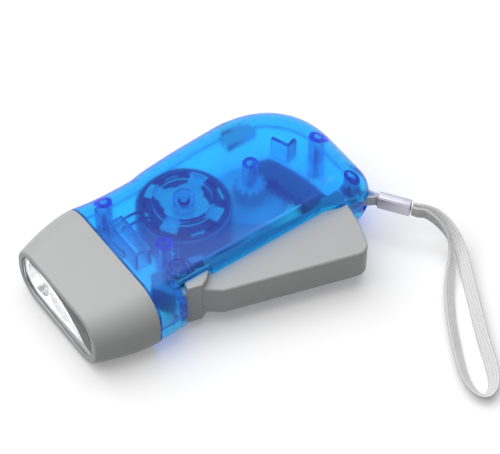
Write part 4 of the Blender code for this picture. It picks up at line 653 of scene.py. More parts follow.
shell = dict(
    length=103.0, headLength=20.5, height=24.4, halfWidth=25.0, tailNear=22.4, edgeRadius=10.0, sideFlat=2.0,
    edgeSteps=18, tailCorner=7.5, sweepLength=27.5, sweepPower=2.3, wall=2.2, gap=0.3, neckLength=4.5,
    neckInset=1.8, neckWall=1.6, leverDraw=4.57, leverStep=0.6, leverTail=19.5, leverSwing=6.7, leverEdge=0.28,
    screwBore=1.15, boreFloor=0.2, skinAway=0.06, skinFacing=0.6, cutPast=20.0)
gap = shell["gap"]
farSide = ((0.0, 1.0), (0.16, 0.957), (0.38, 0.952), (0.47, 0.99), (0.7, 1.04), (1.0, 1.072))
pivot = Vector((-18.1, -14.6))
rotor = Vector((-1.5, 5.6))
firstGear = Vector((22.55, 4.70))
secondGear = Vector((10.19, -3.80))
screwPosts = ((-22.3, 18.0, 2.7), (-16.5, -5.7, 2.7), (45.8, 1.7, 2.7), (45.2, -15.9, 2.3))  # x, y, radius
lever = dict(
    rest=16.7, low=6.5, high=17.9, blockLow=3.8, blockHigh=20.6, outerFace=9.5, blockFace=7.6, blockRadius=9.2,
    blockFront=0.6, noseX=9.0, noseY=1.5, noseStart=215.0, blockInner=3.0, flareStart=6.0, flareEnd=11.4,
    tailRadius=58.3, tailCorner=4.0, innerAngle=16.0, wall=2.0, pinRadius=1.5, hubRadius=4.6, edge=0.8,
    blockEdge=0.5, runGap=0.35, springRecess=4.8, springLeg=8.1, springGroove=0.65, hollowStart=0.24,
    hollowEnd=0.72)
coilSpring = dict(
    radius=3.5, leg=4.6, wire=0.35, footCut=0.6, coils=3, pitch=1.35, room=0.7, bearing=52.0, steps=144,
    stopReach=5.8, stopAcross=1.45, stopRadius=0.8)
ribs = dict(
    thick=0.9, ringRadius=9.2, vee=(36.1, 3.8), veeLong=5.8, veeLongBearing=113.0, veeShort=3.4,
    veeShortBearing=15.0, veeDeep=8.4, veeThick=1.35, wellLow=(-26.2, -5.05), wellHigh=(-20.8, 10.45),
    wellDeep=7.0, frontDeep=3.0, frontThick=0.7,
    front=((-25.6, 17.2), (-28.3, 12.4), (-29.0, 5.6), (-28.0, -1.6)))
switchWindow = dict(x=29.0, halfLength=3.5, low=13.7, high=16.3, bodyStart=23.5, bodyEnd=34.5)

seamX = shell["headLength"] - shell["length"] / 2
frontX, tailX = -shell["length"] / 2, shell["length"] / 2
midZ = shell["height"] / 2
ceilingZ = shell["height"] - shell["wall"]
topPlateZ = 19.35
springRecessZ = lever["blockHigh"] - coilSpring["coils"] * coilSpring["pitch"] - coilSpring["room"]
slotFrontX = pivot.x - lever["blockFace"] * math.sin(math.radians(lever["rest"])) - gap
upperBosses = (  # radius, low end, radius and top of the bore, centre
    (2.5, 12.65, 1.2, ceilingZ - shell["boreFloor"], firstGear),
    (2.6, springRecessZ + lever["runGap"], 1.8, 22.5, pivot),
    (3.4, topPlateZ + gap, 1.3, 21.6, rotor))
lowerPosts = ((1.8, 4.05, firstGear, 32), (4.0, 3.45, pivot, 40))  # radius, high end, centre, sides
lowerBores = ((1.3, 5.2, firstGear), (1.8, 4.6, pivot), (1.3, 3.2, secondGear), (1.3, 3.2, rotor))
lowerFloor, screwSeat = 1.2, dict(bore=0.5, radius=2.0, high=4.2)


def nearSide(start, end):
    # Full width at the head, drawn in over the lever, then swinging out again to the tail's corner.
    drawn, turnX = shell["leverDraw"] - shell["halfWidth"], tailX - shell["leverTail"]
    stepX = slotFrontX - gap / 2
    before = stepX - shell["leverStep"]

    def full(x):
        return start.y + (end.y - start.y) * (x - start.x) / (end.x - start.x)

    ahead = [start.x + (before - start.x) * i / 4 for i in range(5)]
    points = [Vector((x, full(x))) for x in ahead]
    points += [Vector((stepX + (turnX - stepX) * i / 16, drawn)) for i in range(17)]
    for i in range(1, 9):
        share = i / 8
        x = turnX + shell["leverSwing"] * share
        points.append(Vector((x, drawn + (full(x) - drawn) * share ** 2 * (3 - 2 * share))))
    return points


def edgeShare(p):
    # How much of the edge's rounding a point of the outline gets: little of it over the lever.
    turnX = tailX - shell["leverTail"]
    if p.y > pivot.y or p.x < slotFrontX - gap:
        return 1.0
    along = (p.x - turnX) / (tailX - shell["tailCorner"] - turnX)
    return shell["leverEdge"] + (1 - shell["leverEdge"]) * min(max(along, 0.0), 1.0)


def bodyOutline():
    sweepX, power = tailX - shell["sweepLength"], 2 / shell["sweepPower"]
    bulge = shell["halfWidth"] * farSide[-1][1]
    corner = (tailX - shell["tailCorner"], shell["tailCorner"] - shell["tailNear"])
    points = nearSide(Vector((seamX, -shell["halfWidth"])), Vector((corner[0], -shell["tailNear"])))
    points += arcPoints(corner, shell["tailCorner"], -math.pi / 2, 0, 14)
    for angle in quarterAngles(44):
        points.append(Vector((
            sweepX + shell["sweepLength"] * math.cos(angle) ** power, bulge * math.sin(angle) ** power)))
    anchors = [(seamX + (sweepX - seamX) * x, shell["halfWidth"] * y) for x, y in farSide]
    points += [Vector(point) for point in reversed(smoothPath(anchors, 9)[:-1])]
    return points


outline = bodyOutline()
hollowOutline = drawnIn(outline, shell["wall"])


def edgeLevels(wall=0.0):
    # Inset and height from the seam, up round the edge. The hollow's start past the seam.
    levels = [(0.0, -1.0 if wall else gap / 2)]
    rise, radius = midZ - shell["sideFlat"] - wall, shell["edgeRadius"] - wall
    for angle in quarterAngles(shell["edgeSteps"]):
        levels.append((radius * (1 - math.cos(angle)), shell["sideFlat"] + rise * math.sin(angle)))
    return levels


def shellRing(inset, z, wall=0.0):
    # The outline at one height; with a wall it is the hollow's, open at the seam.
    length, ring = tailX - seamX, []
    for p, q in zip(outline, hollowOutline if wall else outline):
        x = seamX + (q.x - seamX) * (1 - inset / length)
        if wall and p.x < seamX + gap:
            x = seamX - 1
        ring.append((x, q.y * (1 - inset * edgeShare(p) / shell["halfWidth"]), z))
    return ring


def shellLoft(name, side, levels, wall=0.0):
    return loft(name, [shellRing(inset, midZ + side * height, wall) for inset, height in levels])


def halfShell(name, side):
    half = shellLoft(name, side, edgeLevels())
    hollow = shellLoft("hollow", side, edgeLevels(shell["wall"]), shell["wall"])
    run, low = lever["runGap"], lever["blockLow"]
    noseRoom = rod("noseRoom", lever["blockFace"] + gap, low - run, lever["high"] + run, pivot, 48)
    return combine(half, [hollow, noseRoom], "DIFFERENCE")


def markSkin(half, side):
    # Tells the polished outer face from the matt faces inside.
    outside = shellLoft("skin", side, edgeLevels())
    places, faces = [v.co for v in outside.data.vertices], [p.vertices for p in outside.data.polygons]
    tree = BVHTree.FromPolygons(places, faces)
    bpy.data.objects.remove(outside)
    skin = half.data.attributes.new("skin", "FLOAT", "FACE")
    for face, mark in zip(half.data.polygons, skin.data):
        _, normal, _, away = tree.find_nearest(face.center / mm)
        outer = away < shell["skinAway"] and normal.dot(face.normal) > shell["skinFacing"]
        mark.value = 1.0 if outer else 0.0


def trimmedTo(side, tools, overlap=1.0):
    # The tools, cut off inside the shell's outer face.
    shrink = 1 - overlap / midZ
    levels = [(overlap, -overlap)] + [(inset + overlap, height * shrink) for inset, height in edgeLevels()]
    envelope = shellLoft("envelope", side, levels)
    result = []
    for tool in tools:
        addBoolean(tool, envelope, "INTERSECT")
        result.append(plainMesh(tool))
    bpy.data.objects.remove(envelope)
    return result


def halfNeck(side):
    def half(inset):
        radius, rise = shell["edgeRadius"] - inset, midZ - shell["sideFlat"] - inset
        right = [(shell["halfWidth"] - inset, midZ + side * gap / 2)]
        for angle in quarterAngles(18):
            right.append((
                shell["halfWidth"] - inset - radius * (1 - math.cos(angle)),
                midZ + side * (shell["sideFlat"] + rise * math.sin(angle))))
        return right + [(-y, z) for y, z in reversed(right)]
    ring = half(shell["neckInset"]) + list(reversed(half(shell["neckInset"] + shell["neckWall"])))
    return plate("neck", [ring], seamX - shell["neckLength"], seamX + 1, acrossX=True)


def leverCutters():
    reach, run = -shell["halfWidth"] - shell["cutPast"], lever["runGap"]
    turn = math.atan2(reach - pivot.y, lever["tailRadius"])
    edge = [Vector((slotFrontX, pivot.y)), Vector((slotFrontX, reach))]
    edge += [polar(lever["tailRadius"] + gap * 2, turn * (1 - i / 24), pivot) for i in range(25)]
    blockEnd = pivot.x + lever["blockRadius"] - gap
    front = [(slotFrontX, pivot.y), (slotFrontX, reach), (blockEnd, reach), (blockEnd, pivot.y)]
    return [plate("leverSlot", [edge], lever["low"] - run, lever["high"] + run),
            plate("blockSlot", [front], lever["blockLow"] - run, lever["blockHigh"] + run)]


def strapCutter():
    outward = Vector((ferrule["startX"] - strap["postX"], ferrule["startY"] - strap["postY"]))
    half = strap["postRadius"] + strap["thickness"] + strap["gap"]
    middle, high = strap["height"], strap["width"] / 2 + strap["gap"]
    return block(
        "strapSlot", (strap["postRadius"], -half, middle - high), (outward.length, half, middle + high),
        turn=math.atan2(outward.y, outward.x), centre=(strap["postX"], strap["postY"]))


def upperRibs():
    thick, top, ringLow = ribs["thick"], ceilingZ + 1, topPlateZ + gap
    edges = [circlePoints(ribs["ringRadius"] + half, 72, rotor) for half in (thick / 2, -thick / 2)]
    vee = Vector(ribs["vee"])
    long = polar(ribs["veeLong"], math.radians(ribs["veeLongBearing"]), vee)
    short = polar(ribs["veeShort"], math.radians(ribs["veeShortBearing"]), vee)
    (lowX, lowY), (highX, highY) = ribs["wellLow"], ribs["wellHigh"]
    well = [corners((lowX + inset, lowY + inset), (highX - inset, highY - inset)) for inset in (0, thick)]
    curved = [Vector(p) for p in smoothPath(ribs["front"], 8)]
    reach = coilSpring["stopReach"]
    stop = polar(reach, math.radians(coilSpring["bearing"]) + coilSpring["stopAcross"] / reach, pivot)
    return [plate("ringRib", edges, ringLow, top),
            wallStrip("veeRib", [long, vee, short], ceilingZ - ribs["veeDeep"], top, ribs["veeThick"]),
            plate("wellRibs", well, ceilingZ - ribs["wellDeep"], top),
            wallStrip("frontRib", curved, ceilingZ - ribs["frontDeep"], top, ribs["frontThick"]),
            rod("springStop", coilSpring["stopRadius"], lever["blockHigh"] + gap, top, stop, 20)]


def makeUpperShell():
    half = halfShell("upperShell", 1)
    posts, bores = [], []
    inside = [(radius, midZ + gap / 2, shell["screwBore"], ceilingZ - shell["boreFloor"], (x, y))
              for x, y, radius in screwPosts]
    for radius, low, bore, boreTop, centre in inside + list(upperBosses):
        posts.append(rod("post", radius, low, ceilingZ + 1, centre, 40))
        bores.append(rod("bore", bore, low - 1, boreTop, centre, 24))
    half = combine(half, trimmedTo(1, posts + upperRibs()) + [halfNeck(1)], "UNION")
    backY, x, reach = switchBackY(), switchWindow["x"], switchWindow["halfLength"]
    window = block("switchWindow", (x - reach, backY, switchWindow["low"]),
                   (x + reach, backY + shell["cutPast"], switchWindow["high"]))
    half = combine(half, bores + leverCutters() + [strapCutter(), window], "DIFFERENCE")
    finishPiece(half, "upperShell", "housing", [blueStyrene], ["upper_shell"])
    markSkin(half, 1)


def farWallY(x):
    side = [point for point in outline if point.y > 0]
    for a, b in zip(side, side[1:]):
        if b.x <= x <= a.x:
            return b.y + (a.y - b.y) * (x - b.x) / (a.x - b.x)
    return shell["halfWidth"]


def switchBackY():
    nearest = min(farWallY(switchWindow["bodyStart"]), farWallY(switchWindow["bodyEnd"]))
    return nearest - shell["wall"] - gap * 2


def makeLowerShell():
    half = halfShell("lowerShell", -1)
    posts, bores = [], []
    for x, y, radius in screwPosts:
        posts.append(rod("post", radius, shell["wall"] - 1, midZ - gap / 2, (x, y), 40))
        bores.append(rod("bore", shell["screwBore"], screwSeat["bore"], midZ + 1, (x, y), 24))
        bores.append(rod("seat", screwSeat["radius"], -1, screwSeat["high"], (x, y), 32))
    for radius, high, centre, sides in lowerPosts:
        posts.append(rod("post", radius, lowerFloor, high, centre, sides))
    for radius, high, centre in lowerBores:
        bores.append(rod("bore", radius, lowerFloor, high, centre, 24))
    half = combine(half, trimmedTo(-1, posts) + [halfNeck(-1)], "UNION")
    half = combine(half, bores + leverCutters() + [strapCutter()], "DIFFERENCE")
    finishPiece(half, "lowerShell", "housing", [blueStyrene], ["lower_shell"])
    markSkin(half, -1)


makeUpperShell()
makeLowerShell()
print("shells made")


# Head, lens, reflector and lamps

head = dict(
    wall=1.4, frontWidth=21.0, frontHeight=10.4, frontCorner=9.0, openWidth=18.6, openHeight=8.0,
    openCorner=6.5, openSwell=0.4, lensLap=0.8, lensThick=1.2, lensRise=1.5, lensSink=0.5, lensEase=0.15,
    faceEase=0.12, lip=1.6, lipRound=0.7, lipStart=0.955, steps=14)
taper = ((0.0, 0.0), (0.22, 0.06), (0.5, 0.3), (0.78, 0.68), (0.93, 0.92), (1.0, 1.0))
lamps = dict(
    pitch=11.5, radius=2.5, flange=2.9, flangeThick=0.9, length=5.8, cupMouth=5.5, cupDepth=6.4, cupFloor=1.2,
    cupCut=9.0, die=((-2.4, -0.35, -0.35), (-1.5, 0.35, 0.35)))
lampCup = (  # radius and height round its section
    (0.45, 1.5), (0.8, 3.0), (0.9, 3.0), (0.6, 1.2), (0.3, 1.1), (0.3, 0.2), (0, 0.2), (0, 1.5), (0.45, 1.5))
lensX = frontX + head["lip"] + gap
lensBackX = lensX + head["lensThick"]
reflectorX = lensBackX + gap
boardX = reflectorX + lamps["cupDepth"] + lamps["cupFloor"] + lamps["flangeThick"] + gap * 2


def headSection(halfWidth, halfHeight, corner, x):
    ring = []
    for quarter, (sy, sz) in enumerate(((1, 1), (-1, 1), (-1, -1), (1, -1))):
        for i in range(head["steps"] + 1):
            angle = math.pi / 2 * (quarter + i / head["steps"])
            ring.append((x, sy * (halfWidth - corner) + corner * math.cos(angle),
                         midZ + sz * (halfHeight - corner) + corner * math.sin(angle)))
    return ring


def headSize(share):
    return (shell["halfWidth"] + (head["frontWidth"] - shell["halfWidth"]) * share,
            midZ + (head["frontHeight"] - midZ) * share,
            shell["edgeRadius"] + (head["frontCorner"] - shell["edgeRadius"]) * share)


def headX(share):
    return seamX - gap - (shell["headLength"] - gap) * share


def facingFront(x, y):
    return Matrix.Translation((x, y, midZ)) @ Matrix.Rotation(-math.pi / 2, 4, "Y")


def makeBezel(opening, seen):
    outside = [pair for pair in smoothPath(taper, 6) if pair[0] <= head["lipStart"]]
    rings = [headSection(*headSize(share), headX(at)) for at, share in outside]
    for angle in quarterAngles(7)[1:]:
        inset = head["lipRound"] * (1 - math.cos(angle))
        x = frontX + head["lipRound"] * (1 - math.sin(angle))
        rings.append(headSection(*[size - inset for size in headSize(1.0)], x))
    for angle in quarterAngles(4):
        grow = head["lipRound"] / 2 * (1 - math.sin(angle))
        x = frontX + head["lipRound"] / 2 * (1 - math.cos(angle))
        rings.append(headSection(*[size + grow for size in seen], x))
    seat = [size + head["lensLap"] + gap for size in opening]
    rings.append(headSection(*seen, frontX + head["lip"]))
    rings.append(headSection(*seat, frontX + head["lip"]))
    rings.append(headSection(*seat, lensBackX))
    for at, share in reversed(outside[:-4]):  # the wall's inner face stops short of the lens seat
        rings.append(headSection(*[size - head["wall"] for size in headSize(share)], headX(at)))
    piece = loft("headBezel", rings, closeLast=True, caps=(False, False))
    finishPiece(piece, "headBezel", "housing", [satinAbs], ["head_bezel"])


def makeHead():
    opening = (head["openWidth"], head["openHeight"], head["openCorner"])
    seen = (head["openWidth"], head["openHeight"] + head["openSwell"], head["openCorner"])
    makeBezel(opening, seen)

    flat = [(y, z) for _, y, z in headSection(*[size + head["lensLap"] for size in opening], 0)]
    lens = plate("lensWindow", [flat], lensX, lensBackX, acrossX=True, ease=head["lensEase"])
    raised = [(y, z) for _, y, z in headSection(*[size - gap / 2 for size in seen], 0)]
    face = plate("lensFace", [raised], lensX - head["lensRise"], lensBackX - head["lensSink"], acrossX=True,
                 ease=head["faceEase"])  # fills the opening
    lens = combine(lens, [face], "UNION")
    finishPiece(lens, "lensWindow", "housing", [lensAcrylic], ["lens_window"])

    back = reflectorX + lamps["cupDepth"] + lamps["cupFloor"]
    tray = plate("reflectorTray", [flat], reflectorX, back, acrossX=True)
    cups = []
    hole, mouth = lamps["radius"] + gap, lamps["cupMouth"]
    for step in (-1, 0, 1):
        profile = [(0, 1), (mouth, 1)]
        for i in range(17):
            share = i / 16
            profile.append((hole + (mouth - hole) * math.sqrt(1 - share), -lamps["cupDepth"] * share))
        profile += [(hole, -lamps["cupCut"]), (0, -lamps["cupCut"])]
        cups.append(lathe("cup", profile, 64, facingFront(reflectorX, lamps["pitch"] * step)))
    tray = combine(tray, cups, "DIFFERENCE")
    finishPiece(tray, "reflectorTray", "housing", [vacuumSilver], ["reflector_tray"])


def makeLamps():
    turn = Matrix.Rotation(-math.pi / 2, 4, "Y")
    radius, flange, thick = lamps["radius"], lamps["flange"], lamps["flangeThick"]
    profile = [(0, lamps["length"])]
    for angle in quarterAngles(9)[1:]:
        profile.append((radius * math.sin(angle), lamps["length"] - radius + radius * math.cos(angle)))
    profile += [(radius, thick), (flange, thick), (flange, 0), (0, 0)]
    places = [(boardX - gap, lamps["pitch"] * step, midZ) for step in (-1, 0, 1)]
    bulbs = repeated("lamps", lathe("lamp", profile, 40, turn), places, lampEpoxy)
    finishPiece(bulbs, "lamps", "housing", [lampEpoxy], ["lamp_near", "lamp_middle", "lamp_far"])

    # Each lamp's small steel cup, inside the epoxy, with its die
    cups = repeated("lampCups", lathe("lampCup", lampCup, 20, turn), places, machinedSteel)
    finishPiece(cups, "lampCups", "housing", [machinedSteel])
    dice = repeated("lampDice", block("die", *lamps["die"]), places, phosphor)
    finishPiece(dice, "lampDice", "housing", [phosphor])


makeHead()
makeLamps()
print("head made")


# Lever, spring and pins

leverInner = ((0.155, 0.2), (0.3, 0.31), (0.77, 0.72))
leverPlace = Matrix.Translation((pivot.x, pivot.y, 0)) @ Matrix.Rotation(-math.radians(lever["rest"]), 4, "Z")
rack = dict(
    module=0.75, teeth=132, bearing=25.4, overrun=4.5, tipSlope=5.0, low=7.0, high=12.0, back=57.0, tip=53.0,
    rootAngle=9.0, pressure=20.0, backlash=0.07, addendum=0.62, dedendum=1.15, paintedShadeFrom=0.8, paintedShadeMargin=1.0)


def involute(angle):
    return math.tan(angle) - angle


def rackOutline():
    # The rack is a sector of an inside gear round the lever's pin.
    pitch = rack["module"] * rack["teeth"] / 2
    pressure = math.radians(rack["pressure"])
    base = pitch * math.cos(pressure)
    width = math.pi * rack["module"] * (0.5 + rack["backlash"])
    rootAngle, overrun = math.radians(rack["rootAngle"]), math.radians(rack["overrun"])
    local = math.radians(rack["bearing"] + lever["rest"])
    tipAngle = local + overrun
    arm = arcPoints((0, 0), rack["back"], rootAngle, tipAngle - math.radians(rack["tipSlope"]), 36)
    arm.append(polar(rack["tip"], tipAngle))
    crest, root = pitch - rack["module"] * rack["addendum"], pitch + rack["module"] * rack["dedendum"]
    arm.append(polar(crest, tipAngle))
    step = 2 * math.pi / rack["teeth"]
    for space in range(-1, int((local - rootAngle - overrun) / step)):
        middle = local - space * step
        for radius, sign in ((crest, 1), (root, 1), (root, -1), (crest, -1)):
            at = math.acos(base / radius) if radius > base else 0
            half = width / (2 * pitch) + involute(pressure) - involute(at)
            arm.append(polar(radius, middle + sign * half))
    arm.append(polar(crest, rootAngle))
    return arm


def leverArm():
    tail, outer, tailCorner = lever["tailRadius"], lever["outerFace"], lever["tailCorner"]
    corner = (math.sqrt((tail - tailCorner) ** 2 - (outer - tailCorner) ** 2), tailCorner - outer)
    cornerEnd = math.atan2(corner[1], corner[0])
    innerAngle = math.radians(lever["innerAngle"])
    face, inner = lever["blockFace"] - gap, lever["blockInner"]
    edge = [Vector((-lever["noseX"], -lever["noseY"]))]
    edge += arcPoints((0, 0), face, math.radians(lever["noseStart"]), math.pi * 1.5, 10)
    edge += [Vector((lever["flareStart"], -face)), Vector((lever["flareEnd"], -outer))]
    edge += arcPoints(corner, tailCorner, -math.pi / 2, cornerEnd, 14)
    edge += arcPoints((0, 0), tail, cornerEnd, innerAngle, 14)[1:]
    edge += [Vector((tail * x, tail * math.sin(innerAngle) * y)) for x, y in reversed(leverInner)]
    edge += [Vector((lever["flareStart"], inner)), Vector((-lever["blockRadius"] + lever["wall"], inner))]
    return easedPlate("squeezeLever", edge, lever["low"], lever["high"], lever["edge"], 6)


def makeLever():
    face, inner, radius = lever["blockFace"], lever["blockInner"], lever["blockRadius"]
    front = [Vector((lever["blockFront"], inner)), Vector((lever["blockFront"], -face))]
    front += arcPoints((0, 0), radius, -math.asin(face / radius), math.asin(inner / radius), 14)
    gripBlock = easedPlate("gripBlock", front, lever["blockLow"], lever["blockHigh"], lever["blockEdge"], 4)
    hub = rod("hub", lever["hubRadius"], lever["blockLow"], springRecessZ, steps=48)
    teeth = plate("rack", [rackOutline()], rack["low"], rack["high"])
    arm = combine(leverArm(), [gripBlock, hub, teeth], "UNION")

    tail, wall, groove, top = lever["tailRadius"], lever["wall"], lever["springGroove"], lever["blockHigh"]
    start = (tail * lever["hollowStart"], wall - lever["outerFace"])
    end = (tail * lever["hollowEnd"], tail / 2)
    cutters = [
        block("hollow", (*start, lever["low"] + wall), (*end, lever["high"] - wall)),
        rod("recess", lever["springRecess"], springRecessZ, top + 1, steps=48),
        rod("bore", lever["pinRadius"] + gap, lever["blockLow"] - 1, top + 1),
        block("groove", (0, -groove, springRecessZ), (lever["springLeg"], groove, top + gap))]
    arm = combine(arm, cutters, "DIFFERENCE")
    arm.data.transform(leverPlace)
    finishPiece(arm, "squeezeLever", "lever", [satinAbs, greyNylon], ["squeeze_lever"], 28)
    # The rack arm's faces take the darker grey as painted shade: the arm lies in shade under the shell, and it
    # is grey ABS like the rest of the lever.
    for side in arm.data.polygons:
        spoke = Vector(side.center[:2]) / mm - pivot
        turned = math.degrees(math.atan2(spoke.y, spoke.x)) + lever["rest"]
        inPaintedShade = turned > lever["innerAngle"] + rack["paintedShadeMargin"] and spoke.length > tail * rack["paintedShadeFrom"]
        side.material_index = int(inPaintedShade)


def makeSpring():
    radius, wire, steps = coilSpring["radius"], coilSpring["wire"], coilSpring["steps"]
    start, end = -math.radians(lever["rest"]), math.radians(coilSpring["bearing"])
    sweep = 2 * math.pi * coilSpring["coils"] + end - start
    low, high = springRecessZ + wire + gap, lever["blockHigh"] - gap
    foot = polar(radius + coilSpring["leg"] - coilSpring["footCut"], start, pivot)
    tip = polar(radius + coilSpring["leg"], end, pivot)
    points = [(foot.x, foot.y, low)]
    for i in range(steps + 1):
        p = polar(radius, start + sweep * i / steps, pivot)
        points.append((p.x, p.y, low + (high - low) * i / steps))
    points.append((tip.x, tip.y, high))
    spring = tube("returnSpring", points, wire)
    finishPiece(spring, "returnSpring", None, [springSteel], ["return_spring"])
    top, foot = (Vector((pivot.x, pivot.y, z)) * mm for z in (high - wire, low + wire))
    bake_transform(spring)  # the spring rides on no body; its coils sit between case and lever


makeLever()
makeSpring()


# The dynamo, the shafts and the pins

dynamo = dict(
    cupRadius=14.8, cupWall=0.9, cupLow=6.8, cupHigh=18.2, cupFloor=1.2, cupBore=1.3, cupEase=0.3,
    magnetWall=0.9, air=0.4, poleWall=0.8, poleWidth=5.6, plateThick=0.8, plateBore=1.9, turn=31.0, waist=0.36,
    scallop=0.42, scallopWide=0.62, clawWidth=4.4, flange=0.9, bobbinBore=1.6, coreRadius=3.4, coilMargin=0.8,
    windings=11)
cupGroove = ((2.4, 0.0), (2.6, 0.25), (3.0, 0.25), (3.2, 0.0))  # below the rim, depth
shafts = dict(radius=1.0, pinRadius=1.5, low=1.5, rotor=20.85, leverPin=22.5, firstGear=15.05, secondGear=6.2)
magnetOuter = dynamo["cupRadius"] - dynamo["cupWall"] - gap
magnetInner = magnetOuter - dynamo["magnetWall"]
poleRadius = magnetInner - dynamo["air"]
lowPlateZ = dynamo["cupLow"] + dynamo["cupFloor"] + lever["runGap"]
bobbinLow = lowPlateZ + dynamo["plateThick"] + gap
bobbinHigh = topPlateZ - dynamo["plateThick"] - gap
bobbinRadius = poleRadius - dynamo["poleWall"] - gap


def roundBar(radius, high, ease=0.15):
    # Profiles are (radius, height) round the section.
    low = shafts["low"]
    return [(0, low), (radius - ease, low), (radius, low + ease), (radius, high - ease),
            (radius - ease, high), (0, high)]


def tubeSection(inner, outer, low, high, ease=0.12):
    return [(inner + ease, low), (outer - ease, low), (outer, low + ease), (outer, high - ease),
            (outer - ease, high), (inner + ease, high), (inner, high - ease), (inner, low + ease),
            (inner + ease, low)]


def cupSection():
    out, ease, hub = dynamo["cupRadius"], dynamo["cupEase"], dynamo["cupBore"]
    inner = out - dynamo["cupWall"]
    low, high, floor = dynamo["cupLow"], dynamo["cupHigh"], dynamo["cupLow"] + dynamo["cupFloor"]
    rim = [(inner, high - ease / 2), (inner + ease / 2, high), (out - ease, high), (out, high - ease)]
    groove = [(out - depth, high - drop) for drop, depth in cupGroove]
    return rim + groove + [
        (out, low + ease * 2), (out - ease * 2, low), (hub, low), (hub, floor), (inner, floor), rim[0]]


def makeTurnedPieces():
    inner, core, edge, lip = dynamo["bobbinBore"], dynamo["coreRadius"], bobbinRadius, dynamo["flange"]
    bobbin = [(inner, bobbinHigh), (edge, bobbinHigh), (edge, bobbinHigh - lip), (core, bobbinHigh - lip),
              (core, bobbinLow + lip), (edge, bobbinLow + lip), (edge, bobbinLow), (inner, bobbinLow),
              (inner, bobbinHigh)]
    magnetLow = dynamo["cupLow"] + dynamo["cupFloor"] + gap
    magnet = tubeSection(magnetInner, magnetOuter, magnetLow, dynamo["cupHigh"])
    thin, thick, steel = shafts["radius"], shafts["pinRadius"], machinedSteel
    for name, profile, steps, centre, body, material, slotName, node in (
            ("flywheelCup", cupSection(), 120, rotor, "rotor", darkIron, "flywheel", "flywheel_cup"),
            ("magnetRing", magnet, 120, rotor, "rotor", ferrite, "ferrite", "magnet_ring"),
            ("rotorShaft", roundBar(thin, shafts["rotor"]), 64, rotor, "rotor", steel, "steel",
             "rotor_shaft"),
            ("leverPin", roundBar(thick, shafts["leverPin"]), 64, pivot, "housing", steel, "steel",
             "lever_pin"),
            ("firstGearShaft", roundBar(thin, shafts["firstGear"]), 64, firstGear, "first_gear_set", steel,
             "steel", "first_gear_shaft"),
            ("secondGearPin", roundBar(thin, shafts["secondGear"]), 64, secondGear, "housing", steel, "steel",
             "second_gear_pin"),
            ("coilBobbin", bobbin, 96, rotor, "housing", blackNylon, "black_plastic", "coil_bobbin")):
        piece = lathe(name, profile, steps, Matrix.Translation((centre.x, centre.y, 0)))
        finishPiece(piece, name, body, [material], [node])


def makeWinding():
    # Rings of wire one above the other round a core.
    low, high = bobbinLow + dynamo["flange"] + gap, bobbinHigh - dynamo["flange"] - gap
    wire = (high - low) / dynamo["windings"] / 2
    outer = bobbinRadius - dynamo["coilMargin"]
    core = lathe("coilWinding", tubeSection(dynamo["coreRadius"] + gap, outer - wire, low, high), 72)
    core.data.transform(Matrix.Translation((0, 0, -low - wire)))
    tree, given = newGroup("windingTree", {
        "Turns": "Int", "Pitch": "Float", "Radius": "Float", "Wire": "Float"})
    rise = addNode(tree, "ShaderNodeCombineXYZ", {"Z": given["Pitch"]})
    line = addNode(tree, "GeometryNodeMeshLine", {"Count": given["Turns"], "Offset": rise.outputs[0]})
    loop = addNode(tree, "GeometryNodeCurvePrimitiveCircle", {"Resolution": 72, "Radius": given["Radius"]})
    section = addNode(tree, "GeometryNodeCurvePrimitiveCircle", {"Resolution": 8, "Radius": given["Wire"]})
    turn = addNode(tree, "GeometryNodeCurveToMesh", {
        "Curve": loop.outputs[0], "Profile Curve": section.outputs[0]})
    spread = addNode(tree, "GeometryNodeInstanceOnPoints", {
        "Points": line.outputs[0], "Instance": turn.outputs[0]})
    endGroup(tree, [given["Geometry"], spread.outputs[0]], enamelCopper)
    coil = runGroup(core, tree, {
        "Turns": dynamo["windings"], "Pitch": wire * 2, "Radius": outer - wire, "Wire": wire})
    coil.data.transform(Matrix.Translation((rotor.x, rotor.y, low + wire)))
    finishPiece(coil, "coilWinding", "housing", [enamelCopper], ["coil_winding"])


def clawPlate(name, low, turn, poleLow, poleHigh, node):
    points = []
    arm = math.asin(dynamo["poleWidth"] / 2 / poleRadius)
    waist = poleRadius * (1 - dynamo["waist"])
    for i in range(4):
        middle = turn + math.pi / 2 * i
        points += arcPoints((0, 0), poleRadius, middle - arm, middle + arm, 6)
        for step in range(-6, 7):
            share = step / 6 * dynamo["scallopWide"]
            depth = waist * (1 - dynamo["scallop"] * (1 - abs(share)) ** 2 / 2)
            points.append(polar(depth, middle + math.pi / 4 + share * math.pi / 4))
    flat = plate(name, [points, circlePoints(dynamo["plateBore"], 32)], low, low + dynamo["plateThick"])
    half = dynamo["clawWidth"] / 2
    inside, outside = (poleRadius - dynamo["poleWall"], -half, poleLow), (poleRadius, half, poleHigh)
    flat = combine(flat, [block("pole", inside, outside, turn + math.pi / 2 * i) for i in range(4)], "UNION")
    flat.data.transform(Matrix.Translation((rotor.x, rotor.y, 0)))
    finishPiece(flat, name, "housing", [platedSteel], [node])


def makeStator():
    turn, thick = math.radians(dynamo["turn"]), dynamo["plateThick"]
    top, low = topPlateZ - thick, lowPlateZ
    clawPlate("statorTopPlate", top, turn, bobbinLow + dynamo["flange"], top + thick / 2, "stator_top_plate")
    clawPlate("statorBottomPlate", low, turn + math.pi / 4, low + thick / 2, top - gap, "stator_bottom_plate")


makeTurnedPieces()
makeWinding()
makeStator()
print("dynamo made")


# Screws, switch and wires

screw = dict(
    end=16.9, endRadius=0.42, pitch=0.9, threadLow=6.2, threadHigh=15.6, crest=0.85, root=0.62,
    head=((0.75, 6.0), (0.85, 3.9), (1.7, 3.9), (1.7, 3.1), (1.55, 2.8), (1.2, 2.6), (0, 2.6)),
    crossReach=1.15, crossWidth=0.5, crossTop=3.2)
ridges = dict(count=4, spacing=0.8, radius=0.3, margin=0.2, edge=0.2)
wires = dict(radius=0.4, over=19.95, inset=0.8, board=1.6, cell=5.0, cellY=9.0, cellRadius=5.8)


